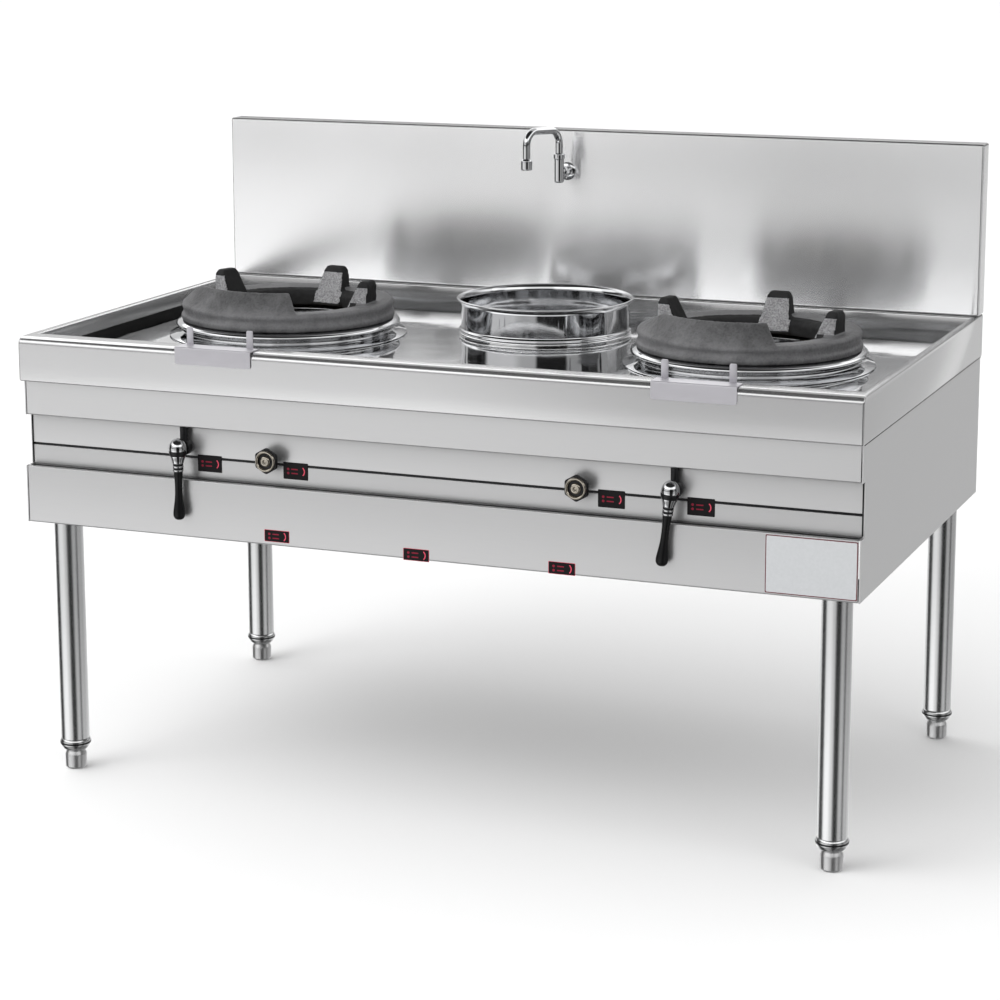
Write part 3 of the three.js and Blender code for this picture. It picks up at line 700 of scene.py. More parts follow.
def run(points, radius, bend):
    """A round bar along straight stretches; bend is how far from a corner its curve starts."""
    corners = [point(*place) for place in points]
    headings = [(b - a).normalized() for a, b in zip(corners, corners[1:])]
    part = bmesh.new()
    lie = Matrix.Translation(corners[0]) @ headings[0].to_track_quat("Z", "Y").to_matrix().to_4x4()
    bmesh.ops.create_circle(part, radius=radius * MM, segments=32, matrix=lie)
    loop = part.verts[:] + part.edges[:]

    def drawn(**path):
        return bmesh.ops.spin(part, geom=loop, **path)["geom_last"]

    start = corners[0]
    for corner, heading, following in zip(corners[1:], headings, [*headings[1:], None]):
        setback = bend * MM if following else 0
        end = corner - heading * setback
        loop = drawn(axis=(0, 0, 1), dvec=end - start, angle=0, steps=1)
        if following:
            turn = heading.angle(following)
            axis = heading.cross(following).normalized()
            centre = end + axis.cross(heading) * setback / math.tan(turn / 2)
            loop = drawn(cent=centre, axis=axis, angle=turn, steps=8)
            start = corner + following * setback
    close(part)
    return part


def smooth_copy(node):
    """The node's own shape, its loose triangles merged so that round faces shade smoothly."""
    part = bmesh.new()
    part.from_mesh(frame["nodes"][node].data)
    bmesh.ops.remove_doubles(part, verts=part.verts[:], dist=1e-6)
    return part


def piece(name, node, *parts, stands_for=True, crease=35):
    """Joins (finish, shape, shape, ...) parts into one object that rides with the node's body."""
    mesh = bpy.data.meshes.new(name)
    whole = bmesh.new()
    finishes = []
    for material, *shapes in parts:
        if material not in finishes:
            finishes.append(material)
        for shape in shapes:
            for face in shape.faces:
                face.material_index = finishes.index(material)
            scratch = bpy.data.meshes.new("scratch")
            shape.to_mesh(scratch)
            shape.free()
            whole.from_mesh(scratch)
            bpy.data.meshes.remove(scratch)
    whole.to_mesh(mesh)
    whole.free()
    for material in finishes:
        mesh.materials.append(material)
    mesh.shade_smooth()
    mesh.set_sharp_from_angle(angle=math.radians(crease))
    made = bpy.data.objects.new(name, mesh)
    bpy.context.scene.collection.objects.link(made)
    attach(made, BODY_OF[node])
    if stands_for:
        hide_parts(node)
    return made


def dress(node, material):
    """Gives a node that is shown as it is its finish."""
    mesh = frame["nodes"][node].data
    mesh.materials.clear()
    mesh.materials.append(material)


# ---- Worktop ----


class WOKRANGE_OT_rim(bpy.types.Operator):
    """Worktop rim: one inverted channel of sheet all round the sunken deck"""

    bl_idname = "wok_range.rim"
    bl_label = "Worktop rim"

    def outer(self, edge):
        """Whether an edge lies on the rim's outside."""
        return all(
            abs(vert.co.x) > RIM_HIGH.x - MM
            or vert.co.y < RIM_LOW.y + MM
            or vert.co.y > RIM_HIGH.y - MM
            for vert in edge.verts
        )

    def front_top(self, edge):
        """Whether an edge lies along the front fold."""
        return all(
            vert.co.z > RIM_HIGH.z - MM and vert.co.y < RIM_LOW.y + MM for vert in edge.verts
        )

    def execute(self, context):
        sizes = context.scene.wok_range_sizes
        part = bmesh.new()
        bmesh.ops.create_cube(part, size=1, matrix=block_at(RIM_LOW, RIM_HIGH))
        bottom, top = end_face(part, 2, min), end_face(part, 2)
        bmesh.ops.inset_region(part, faces=[bottom], thickness=sizes.hem, use_even_offset=True)
        bmesh.ops.delete(part, geom=[bottom], context="FACES_ONLY")
        bmesh.ops.inset_region(part, faces=[top], thickness=sizes.side_rim, use_even_offset=True)
        for vert in top.verts:
            vert.co.y = FRONT + (sizes.ledge_front if vert.co.y < 0 else sizes.recess_back)
        _, mouth = extruded(part, [top], (0, 0, -sizes.skirt))
        bmesh.ops.delete(part, geom=[top, *mouth], context="FACES_ONLY")
        soften(part, sizes.rim_corner, lambda edge: not self.outer(edge))
        soften(part, sizes.rim_fold, self.front_top, 10)
        soften(part, sizes.rim_corner, self.outer)
        z = RIM_LOW.z / MM
        back = (RIM_HIGH.y - FRONT) / MM - 1
        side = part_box("side_panel_right")[1].x / MM
        # Painted shadow: thin black strips under the hem at the sides, standing in for the shade
        # where the rim meets the side panels.
        shadow_strips = [brick((x - 0.8, 16, z - 2.2), (x + 0.8, back, z), 0.3) for x in (-side, side)]
        steel = satin_steel("level", 0.12)
        made = piece("worktop_rim", "rim_frame", (steel, thickened(part)), (black_metal(), *shadow_strips))
        made.data.materials.append(satin_steel("x", 0.12))
        top_steel = len(made.data.materials) - 1
        for face in made.data.polygons:
            if face.normal.z > 0.7:
                face.material_index = top_steel
        return {"FINISHED"}


class WOKRANGE_OT_rim_rests(bpy.types.Operator):
    """Two hooked rests over the front rim, each with an apron, a shelf and two upright tabs"""

    bl_idname = "wok_range.rim_rests"
    bl_label = "Rim rests"

    def low_corner(self, edge):
        """Whether an edge crosses the sheet at a lower corner of the apron."""
        start, end = (vert.co for vert in edge.verts)
        return abs(start.y - end.y) > 1.5 * MM and max(start.z, end.z) < 0.764

    def execute(self, context):
        for name in SIDES:
            node = f"rim_rest_{name}"
            low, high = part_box(node)
            left, right = low.x / MM, high.x / MM
            back = (high.y - FRONT) / MM
            line = [(-2.3, 763), (-2.3, 792.3, 2.5), (back, 792.3)]
            shelf = folded(line, (left, right), Vector((0, -1, 1)))
            soften(shelf, 4 * MM, self.low_corner, 4)
            tabs = []
            for x in (left + 7, right - 22):
                tab = [(x, 790.6), (x + 12, 790.6), (x + 12, 822, 3), (x, 822, 3)]
                tabs.append(plate(tab, 2, at(0, back, 0), edge=0.4))
            piece(f"rim_hook_{name}", node, (rest_coating(), shelf, *tabs))
        return {"FINISHED"}


class WOKRANGE_OT_deck(bpy.types.Operator):
    """Sunken deck with the strainer of its drain"""

    bl_idname = "wok_range.deck"
    bl_label = "Deck"

    def execute(self, context):
        dress("deck_pan", mirror_steel())
        dress("deck_upstand", smoked_steel())
        spigot = [
            (13, 690), (15.5, 690), (15.5, 750.3), (24, 750.3), (23.4, 752.5, 0.8),
            (14, 751.5, 0.5), (13, 750),
        ]
        strainer = turned(spigot, upright("deck_drain"))
        piece("deck_strainer", "deck_drain", (satin_steel("x", 0.2), strainer))
        return {"FINISHED"}


# ---- Cabinet ----


class WOKRANGE_OT_front_sheets(bpy.types.Operator):
    """The three steps of the front: band, set-back control panel with its groove, lower apron"""

    bl_idname = "wok_range.front_sheets"
    bl_label = "Front sheets"

    joint = 1.5
    band = [(13, 787.7), (13, 651, 3), (32, 651)]
    panel = [
        (52, 650.7), (30, 650.7, 2.5), (30, 599, 0.8), (34, 599, 0.8), (34, 595, 0.8),
        (30, 595, 0.8), (30, 561.3),
    ]
    apron = [(36, 561), (10, 561, 2), (10, 460, 3.5), (34, 460)]

    def execute(self, context):
        low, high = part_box("fascia_band")
        span = left, right = low.x / MM + self.joint, high.x / MM - self.joint
        band, panel, apron = (
            (satin_steel("level", 0.3), folded(line, span, Vector((0, -1, 0))))
            for line in (self.band, self.panel, self.apron)
        )
        # Painted shade: a black strip in the bottom of the groove, and another on the apron's ledge
        # under the panel's foot.
        groove = brick((left + 1, 31.2, 595.1), (right - 1, 33.5, 598.9), 0.2)
        ledge_shade = brick((left + 1, 17, 561.2), (right - 1, 29.8, 562.6), 0.3)
        ends = [brick((x, 28, 562.8), (x + 1.8, 33.5, 650), 0.3) for x in (left - 1.3, right - 0.5)]
        piece("fascia_sheet", "fascia_band", band)
        piece("control_sheet", "control_panel", panel, (black_metal(), groove, ledge_shade, *ends))
        piece("apron_sheet", "lower_apron", apron)
        return {"FINISHED"}


class WOKRANGE_OT_plain_sheets(bpy.types.Operator):
    """Finish of the flat side, back and cover sheets and the welded base frame"""

    bl_idname = "wok_range.plain_sheets"
    bl_label = "Plain sheets"

    def execute(self, context):
        for node in ("side_panel_left", "side_panel_right", "back_panel", "splash_cover"):
            dress(node, satin_steel("level", 0.3))
        dress("base_frame", pipe_steel("x"))
        return {"FINISHED"}


class WOKRANGE_OT_legs(bpy.types.Operator):
    """Four tube legs, each with a flared end ring and a levelling foot"""

    bl_idname = "wok_range.legs"
    bl_label = "Legs and feet"

    tube = [(23.5, 56), (25, 56, 0.4), (25, 514.7), (23.5, 514.7)]
    ring = [
        (9, 34), (19, 34, 0.8), (23.5, 38, 1.5), (27, 45, 2), (27, 52, 2), (25, 55.7, 0.5),
        (22.5, 55.7), (22.5, 84), (9, 84),
    ]
    band = [(24, 46), (27.4, 46.5), (27.6, 49.5), (24, 50)]
    foot = [
        (0, 0), (15.5, 0, 0.6), (19, 3.5, 0.8), (19, 26, 1), (16, 33.5, 1), (8, 33.5), (8, 77),
        (7, 78), (0, 78),
    ]

    def execute(self, context):
        for leg in LEGS:
            place = upright(f"leg_{leg}")
            tube, ring, band, foot = (
                (material, turned(profile, place, SIDES_OF_TUBES))
                for material, profile in (
                    (polished_tube(), self.tube),
                    (polished_tube(), self.ring),
                    (black_metal(), self.band),
                    (satin_steel("z", 0.28), self.foot),
                )
            )
            piece(f"leg_tube_{leg}", f"leg_{leg}", tube)
            piece(f"leg_ring_{leg}", f"leg_collar_{leg}", ring, band)
            piece(f"levelling_foot_{leg}", f"foot_{leg}", foot)
        return {"FINISHED"}


# ---- Burners ----


class WOKRANGE_OT_burner_collars(bpy.types.Operator):
    """Polished collars: foot flange on the deck, waisted wall and bell-mouthed top"""

    bl_idname = "wok_range.burner_collars"
    bl_label = "Burner collars"

    profile = [
        (148.5, 700), (151, 700), (151.5, 769.5, 2), (168.5, 778.2, 2), (195, 776.5, 3),
        (187, 770, 2), (187, 758, 2), (204, 750.3, 1), (214, 750.3), (216.5, 752.4, 1),
        (197, 756.2, 6), (190, 762, 5), (196, 768.5, 5), (204.2, 771.5, 1.5), (202.5, 776.5, 3),
        (191, 780.7, 5), (168, 780.7, 3), (149.5, 772.5, 2),
    ]

    def execute(self, context):
        sides = context.scene.wok_range_sizes.round_sides
        for name in SIDES:
            node = f"burner_collar_{name}"
            collar = turned(self.profile, upright(node), sides)
            piece(f"polished_collar_{name}", node, (chrome_plate(), collar))
        return {"FINISHED"}


class WOKRANGE_OT_wok_rings(bpy.types.Operator):
    """Cast-iron wok rings: stepped annulus, guard towards the cook and three lugs"""

    bl_idname = "wok_range.wok_rings"
    bl_label = "Wok rings"

    annulus = [
        (130, 0, 1), (192.5, 0), (194, 3), (194, 9, 1), (190, 12, 1), (190, 20, 1), (192.5, 23, 1),
        (192.5, 28, 1.5), (189, 32, 1.5), (176, 33, 2), (148, 30, 2), (135, 27, 3), (130, 21, 2),
    ]
    guard = [
        (181, 22), (190, 25, 1), (188, 33, 2), (164, 64, 2), (160, 67, 1.8), (156, 65, 1.5),
        (178, 33, 2),
    ]
    guard_ends = ((200, 224), (301, 297))
    lug_angles = {"left": (1, 81, 162), "right": (-7, 87, 170)}

    def lug(self):
        """A lug standing on z = 0: shank that leans outwards as it narrows, chamfered crown."""
        part = bmesh.new()
        foot = block_at(Vector((-22, -30, 0)) * MM, Vector((22, 30, 61)) * MM)
        bmesh.ops.create_cube(part, size=1, matrix=foot)
        top = end_face(part, 2)
        self.narrow(part, top.verts, (22 / 44, 42 / 60), 17)
        crown, _ = extruded(part, [top], (0, 0, 9 * MM))
        bmesh.ops.delete(part, geom=[top], context="FACES_ONLY")
        self.narrow(part, crown, (15 / 22, 32 / 42), 0)
        soften(part, 1.5 * MM, segments=2)
        return part

    def narrow(self, part, verts, factors, lean):
        """Draws a level loop of points in towards its middle and leans it along x."""
        centre = sum((vert.co for vert in verts), Vector()) / len(verts)
        about = Matrix.Translation(-centre)
        bmesh.ops.scale(part, verts=list(verts), vec=(*factors, 1), space=about)
        bmesh.ops.translate(part, verts=list(verts), vec=(lean * MM, 0, 0))

    def end_guard(self, part, foot, crest):
        """Ends the guard in a leaning plane through a point of its foot and one of its crest."""
        foot_at = Matrix.Rotation(math.radians(foot), 3, "Z") @ Vector((190, 0, 0))
        crest_at = Matrix.Rotation(math.radians(crest), 3, "Z") @ Vector((160, 0, 42))
        away = foot_at.cross(crest_at).normalized()
        kept = Vector((-0.33, -0.94, 0))
        if away.dot(kept) > 0:
            away.negate()
        geom = part.verts[:] + part.edges[:] + part.faces[:]
        bmesh.ops.bisect_plane(
            part, geom=geom, plane_co=(0, 0, 25 * MM), plane_no=away, clear_outer=True
        )
        close(part)

    def cast(self, name, parts):
        """One skin over the joined shapes, sanded smooth and then roughened as the mould was."""
        sizes = bpy.context.scene.wok_range_sizes
        rough = piece(f"cast_ring_{name}", f"wok_ring_{name}", (ring_iron(), *parts))
        remesh = rough.modifiers.new("skin", "REMESH")
        remesh.mode = "VOXEL"
        remesh.voxel_size = sizes.casting_voxel
        view = bpy.context.evaluated_depsgraph_get()
        skin = bpy.data.meshes.new_from_object(rough.evaluated_get(view))
        rough.modifiers.clear()
        shape = bmesh.new()
        shape.from_mesh(skin)
        axes = dict.fromkeys(("use_axis_x", "use_axis_y", "use_axis_z"), True)
        for _ in range(2):
            bmesh.ops.smooth_vert(shape, verts=shape.verts[:], factor=0.5, **axes)
        shape.normal_update()
        for vert in shape.verts:
            coarse = noise.noise(vert.co * 130)
            fine = noise.noise(vert.co * 420)
            vert.co += vert.normal * sizes.casting_grain * (0.7 * coarse + 0.5 * fine)
        old = rough.data
        shape.to_mesh(skin)
        shape.free()
        rough.data = skin
        bpy.data.meshes.remove(old)
        skin.shade_smooth()
        return skin

    def wear(self, skin, seat, angles):
        """Soot and painted shade round the flame and on the lugs; the lugs' faces towards the cook
        are worn bare and painted lighter as lit faces.
        """
        for material in (sooty_iron(), scoured_iron()):
            skin.materials.append(material)
        soot_and_shade, lit_and_bare = 1, 2
        foot, step, crown = 8, 35, 62
        bore, flame, rim = 136, 149, 182
        half_lug, guard, towards_cook = 28, -55, -0.55
        ways = [(math.cos(math.radians(way)), math.sin(math.radians(way))) for way in angles]
        for face in skin.polygons:
            across, depth, height = (face.center - seat) / MM
            reach = math.hypot(across, depth)
            on_lug = height > step and reach < rim and depth > guard
            low_on_lug = foot < height <= step and reach < bore and any(
                across * x + depth * y > 0 and abs(across * y - depth * x) < half_lug
                for x, y in ways
            )
            # Painted light and shade: lug faces turned towards the cook get the lighter lit finish,
            # the lugs' other faces and the bore the dark finish of soot and shade.
            if (on_lug or low_on_lug) and height < crown and face.normal.y < towards_cook:
                face.material_index = lit_and_bare
            elif on_lug or reach < flame:
                face.material_index = soot_and_shade

    def execute(self, context):
        for name in SIDES:
            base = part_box(f"wok_ring_{name}")[0].z
            centre = middle(f"burner_collar_{name}")
            seat = Matrix.Translation((centre.x, centre.y, base))
            guard = turned(self.guard, sides=SIDES_OF_TUBES)
            for foot, crest in self.guard_ends:
                self.end_guard(guard, foot, crest)
            parts = [turned(self.annulus, seat, SIDES_OF_TUBES), moved(guard, seat)]
            stand = Matrix.Translation(Vector((140, 0, 3)) * MM)
            for way in self.lug_angles[name]:
                out = Matrix.Rotation(math.radians(way), 4, "Z")
                parts.append(moved(self.lug(), seat @ out @ stand))
            self.wear(self.cast(name, parts), seat.translation, self.lug_angles[name])
        return {"FINISHED"}


class WOKRANGE_OT_burners(bpy.types.Operator):
    """Under each ring: chamber on four feet, refractory bowl, and burner head with its jets"""

    bl_idname = "wok_range.burners"
    bl_label = "Burners"

    jacket = [(125, 575), (160, 575, 2), (160, 747.7), (156, 747.7), (156, 579), (125, 579)]
    bowl = [
        (78, 580), (152, 580), (152, 695, 2), (146, 695, 2), (132, 640, 12), (96, 606, 10),
        (78, 604, 2),
    ]
    head = [(0, 585), (24, 585), (60, 595, 3), (60, 611, 3), (54, 615, 2), (0, 615)]
    jet = [(1.8, 612), (5.5, 612), (5.2, 618), (4.2, 637, 0.6), (1.8, 637, 0.4)]

    def jets(self, centre):
        """Bored jets: one in the middle and two rings round it."""
        places = [(0, 0)]
        for radius, count in ((22, 5), (45, 10)):
            for i in range(count):
                way = TURN * i / count
                places.append((radius * math.cos(way), radius * math.sin(way)))
        return [
            turned(self.jet, Matrix.Translation((centre.x + x * MM, centre.y + y * MM, 0)), 16)
            for x, y in places
        ]

    def execute(self, context):
        for name in SIDES:
            centre = middle(f"burner_collar_{name}")
            place = upright(f"burner_collar_{name}")
            corners = [
                (centre.x / MM + x * 90, 423 + depth * 113) for x in (-1, 1) for depth in (-1, 1)
            ]
            feet = [
                brick((x - 12, depth - 2.5, 491.3), (x + 12, depth + 2.5, 579))
                for x, depth in corners
            ]
            jacket, bowl = (
                turned(profile, place, SIDES_OF_TUBES) for profile in (self.jacket, self.bowl)
            )
            burner = (cast_iron(), turned(self.head, place), *self.jets(centre))
            piece(f"chamber_{name}", f"chamber_shell_{name}", (pipe_steel("z"), jacket, *feet))
            piece(f"bowl_{name}", f"fire_bowl_{name}", (firebrick(), bowl))
            piece(f"jet_burner_{name}", f"burner_head_{name}", burner)
        return {"FINISHED"}


class WOKRANGE_OT_gas_train(bpy.types.Operator):
    """Pipes, mixing tubes and the manifold behind the control panel, and the pipe to the tap"""

    bl_idname = "wok_range.gas_train"
    bl_label = "Gas and water pipes"

    def execute(self, context):
        piece("manifold", "gas_manifold", (pipe_steel("x"), smooth_copy("gas_manifold")))
        piece("supply_pipe", "water_pipe", (pipe_steel("z"), smooth_copy("water_pipe")))
        for name in SIDES:
            for title, node, material in (
                ("air_tube", "mixing_tube", pipe_steel("y")),
                ("gas_feed", "feed_pipe", brass()),
                ("pilot_line", "pilot_tube", brass()),
            ):
                source = f"{node}_{name}"
                piece(f"{title}_{name}", source, (material, smooth_copy(source)), crease=50)
        return {"FINISHED"}


# ---- Controls ----


class WOKRANGE_OT_levers(bpy.types.Operator):
    """Lever valves: chrome head with banded ferrule, black club grip, bonnet and riser"""

    bl_idname = "wok_range.levers"
    bl_label = "Lever valves"

    out, height = 440, 615
    lean = {"left": 0.0, "right": 6.5}
    head = [
        (0, -38), (7, -38), (9, -37, 0.6), (9, -34.5, 0.6), (7.8, -33.8), (7.8, -31.2),
        (9.2, -30.4, 0.6), (9.2, -28, 0.6), (7.9, -27.2), (7.9, -24.6), (9.4, -23.6, 0.8),
        (10.4, -19, 3), (13.6, -10, 3), (13.6, -5, 1), (15.5, 1, 4), (13.5, 11, 4),
        (7.5, 17.8, 4), (0, 20),
    ]
    bands = (
        [(7, -33.7), (8.7, -33.7, 0.4), (8.7, -31.3, 0.4), (7, -31.3)],
        [(7, -27.1), (8.8, -27.1, 0.4), (8.8, -24.7, 0.4), (7, -24.7)],
        [(10, -10.4), (13.4, -10.4), (15, -5, 2), (15.3, -1.5, 1), (12, -1)],
    )
    grip = [
        (0, -122), (6, -121.2, 2), (9.9, -116.5, 2.5), (10.4, -109.5, 4), (8.7, -98, 6),
        (6.5, -82, 8), (6.2, -60, 8), (7.6, -39, 0.5), (7.2, -38.3), (0, -38.3),
    ]
    bonnet = [(0, 13), (12.5, 13), (13.5, 14, 0.4), (13.5, 26, 0.6), (0, 26)]

    def execute(self, context):
        for name, side in SIDES.items():
            x = side * self.out
            axis = inward(x, self.height)
            tilt = Matrix.Rotation(math.radians(self.lean[name]), 4, "Y")
            hang = at(x, -3, self.height) @ tilt
            head = (chrome_plate(), turned(self.head, hang))
            bands = (black_metal(), *(turned(band, hang) for band in self.bands))
            piece(f"lever_knuckle_{name}", f"lever_head_{name}", head, bands)
            grip = (black_grip(), turned(self.grip, hang))
            piece(f"lever_handle_{name}", f"lever_grip_{name}", grip)
            riser = rod(7, 621, 650.7, at(x, 20.5, 0))
            neck = rod(9, 596.3, self.height, at(x, 80, 0))
            piece(
                f"lever_valve_{name}",
                f"valve_body_{name}",
                (black_metal(), turned(self.bonnet, axis), riser),
                (pipe_steel("z"), rod(7, 25, 40, axis)),
                (brass(), rod(15, 38, 98, axis, 6, 0.8), neck),
            )
        return {"FINISHED"}


class WOKRANGE_OT_pilot_keys(bpy.types.Operator):
    """Pilot cocks with their six-sided keys"""

    bl_idname = "wok_range.pilot_keys"
    bl_label = "Pilot keys"

    out, height = 278, 606
    boss = [
        (0, 3.2), (2.6, 3, 0.4), (3.2, 1.2, 0.6), (6.5, 0.6, 1.5), (9, 2.4, 1), (9.4, 6), (0, 6),
    ]
    hoop = [(13, 6), (13.2, 2.6, 1), (15, 0.4, 1), (17, 0.3, 0.8), (18.4, 2.4, 1), (18.6, 6)]

    def execute(self, context):
        ways = [TURN * i / 6 for i in range(6)]
        corners = [(23 * math.sin(way), 23 * math.cos(way), 3) for way in ways]
        for name, side in SIDES.items():
            x = side * self.out
            axis = inward(x, self.height)
            key = plate(corners, 7, at(x, 12, self.height), edge=1.4)
            face = (key_plate(), turned(self.boss, axis), turned(self.hoop, axis))
            piece(f"pilot_key_{name}", f"pilot_knob_{name}", (black_metal(), key), face)
            neck = turned([(0, 12.5), (8, 12.5, 0.5), (8, 40), (0, 40)], axis, 48)
            body = rod(10, 38, 92, axis, 6, 0.6)
            foot = rod(6, 596.3, self.height, at(x, 80, 0))
            metal = ((black_metal(), neck), (brass(), body, foot))
            piece(f"pilot_cock_{name}", f"pilot_body_{name}", *metal)
        return {"FINISHED"}


# ---- Soup pot ----


class WOKRANGE_OT_soup_pot(bpy.types.Operator):
    """Soup pot with its rolled rim, the collar round its hole and the jacket of its well"""

    bl_idname = "wok_range.soup_pot"
    bl_label = "Soup pot"

    pot = [
        (0, 638), (125, 638, 6), (142, 643, 8), (149, 658, 8), (149.5, 756.3), (157, 756.3, 1),
        (157.8, 760, 1.5), (154, 763.5, 1.5), (154, 808, 3), (157, 812, 1.5), (161.5, 813.5, 1.2),
        (161.5, 816.2, 1.2), (159, 817, 1), (155, 814.5, 2), (152, 808, 3), (152, 764, 2),
        (147.5, 757, 2), (147, 659, 8), (141, 645.5, 6), (124.5, 640.5, 6), (0, 640.5),
    ]
    collar = [
        (153, 750.3), (158, 750.3), (158, 754, 0.8), (156.4, 756, 0.8), (154, 756, 0.6), (153, 755),
    ]
    jacket = [(26, 606), (162, 606, 2), (162, 747.7), (160, 747.7), (160, 608), (26, 608)]

    def execute(self, context):
        sides = context.scene.wok_range_sizes.round_sides
        for name, node, profile, count, material in (
            ("stock_pot", "soup_pot", self.pot, sides, chrome_plate()),
            ("pot_collar", "well_collar", self.collar, sides, mirror_steel()),
            ("pot_well", "well_jacket", self.jacket, SIDES_OF_TUBES, pipe_steel("z")),
        ):
            piece(name, node, (material, turned(profile, upright("soup_pot"), count)))
        return {"FINISHED"}


# ---- Splashback and tap ----


class WOKRANGE_OT_splashback(bpy.types.Operator):
    """Splashback: one shallow tray of sheet, open to the back"""

    bl_idname = "wok_range.splashback"
    bl_label = "Splashback"

    def execute(self, context):
        low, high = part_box("splashback")
        part = bmesh.new()
        bmesh.ops.create_cube(part, size=1, matrix=block_at(low, high))
        bmesh.ops.delete(part, geom=[end_face(part, 1)], context="FACES_ONLY")
        soften(part, context.scene.wok_range_sizes.splash_fold, segments=4)
        piece("splash_tray", "splashback", (bright_sheet(), thickened(part)))
        return {"FINISHED"}


class WOKRANGE_OT_tap(bpy.types.Operator):
    """Swing tap: flanged elbow with an upright barrel, and the spout with its aerator"""

    bl_idname = "wok_range.tap"
    bl_label = "Swing tap"

    flange = [(0, 811.7), (17, 811.7, 0.4), (17, 809.5, 1), (13, 807), (0, 807)]
    barrel = [
        (0, 1005), (7.5, 1005, 1), (9, 1007, 1), (9, 1049), (10.5, 1050, 0.6), (10.5, 1058, 0.8),
        (9, 1060), (0, 1060),
    ]
    aerator = [
        (0, 1038.5), (7.5, 1038.5), (8, 1037, 0.3), (10, 1037, 0.6), (10.5, 1039, 0.6),
        (10.5, 1054, 1), (7.2, 1058, 0.8), (0, 1058),
    ]

    def execute(self, context):
        x, depth = -40, 767
        axis = inward(x, 1022)
        elbow = [turned(self.flange, axis), rod(9, depth, 810, axis, 48)]
        elbow += [rod(13, 781, 793, axis, 6, 1), turned(self.barrel, at(x, depth, 0))]
        piece("tap_elbow", "tap_body", (chrome_plate(), *elbow))
        tip = (x - 27, depth - 98)
        bends = [(x, depth, 1060.3), (x, depth, 1103), (*tip, 1107.7), (*tip, 1047)]
        spout = [run(bends, 7, 26), turned(self.aerator, at(*tip, 0))]
        piece("swing_spout", "tap_spout", (chrome_plate(), *spout))
        return {"FINISHED"}


# ---- Plates and screws ----


class WOKRANGE_OT_plates(bpy.types.Operator):
    """Small plates beside the levers and on the apron with plain marks, and a large bare plate"""

    bl_idname = "wok_range.plates"
    bl_label = "Plates"

    def small(self, name, node, x, depth, z, height):
        """Black plate with two dots, two bars and an arc; the apron's plates have a red edge."""
        half = 23
        edge = 0 if node == "control_panel" else 0.6
        place = at(x, depth, z)
        border = plate(oblong(2 * half + edge, height + edge, 1.2), 0.3, place)
        ground = plate(oblong(2 * half - edge, height - edge, 1.2), PLATE_GROUND, place)
        marks = []
        for line in (z + 3, z - 4):
            marks.append(rod(2.2, 0, 0.2, raised(x - half + 9, depth, line), 24))
            marks.append(plate(oblong(12, 2, 0.4), 0.65, at(x - 2, depth, line)))
        turn = raised(x + half - 15, depth, z) @ Matrix.Rotation(-TURN / 7, 4, "Z")
        arc = turned([(7.5, 0), (9.3, 0), (9.3, 0.2), (7.5, 0.2)], turn, 16, TURN / 3.5)
        piece(
            name,
            node,
            (printed("arc" if edge else "plate"), border),
            (printed("plate"), ground),
            (printed("mark"), *marks),
            (printed("arc"), arc),
            stands_for=False,
        )

    def execute(self, context):
        for number, x in enumerate((-396.5, -234, 330, 481), 1):
            self.small(f"valve_plate_{number}", "control_panel", x, 30, 587.5, 29)
        for number, (x, z) in enumerate(((-261.5, 477), (-5, 468.5), (252.5, 470)), 1):
            self.small(f"apron_plate_{number}", "lower_apron", x, 10, z, 20)
        place = at(668.5, 10, 511)
        edge = (printed("plate_edge"), plate(oblong(149, 94, 2), 0.3, place))
        ground = (printed("bare_plate"), plate(oblong(146, 91, 1.5), 0.5, place))
        piece("bare_plate", "lower_apron", edge, ground, stands_for=False)
        return {"FINISHED"}


class WOKRANGE_OT_screws(bpy.types.Operator):
    """Screws of the splashback's end, its cover and the back panel"""

    bl_idname = "wok_range.screws"
    bl_label = "Screws"

    head = [(2, 0), (4.5, 0), (4.5, 1.2, 0.6), (3.2, 2.2, 0.5), (2, 2.3)]

    def screw(self, place):
        """A pan head with a six-sided socket."""
        return [
            (chrome_plate(), turned(self.head, place, 24)),
            (black_metal(), rod(2.2, 0, 0.8, place, 6)),
        ]

    def execute(self, context):
        outward = Matrix.Rotation(TURN / 4, 4, "Y")
        rearward = Matrix.Rotation(-TURN / 4, 4, "X")
        for node, turn, across, depth, heights in (
            ("splashback", outward, (747.6,), 838, (1060, 1015)),
            ("splash_cover", rearward, (-700, -350, 0, 350, 700), 847, (810, 1080)),
            ("back_panel", rearward, (-710, -355, 0, 355, 710), 847.5, (480, 700)),
        ):
            name = "splash_end_screws" if node == "splashback" else f"{node}_screws"
            places = [at(x, depth, z) @ turn for x in across for z in heights]
            screws = [part for place in places for part in self.screw(place)]
            piece(name, node, *screws, stands_for=False)
        return {"FINISHED"}


# ---- Studio ----


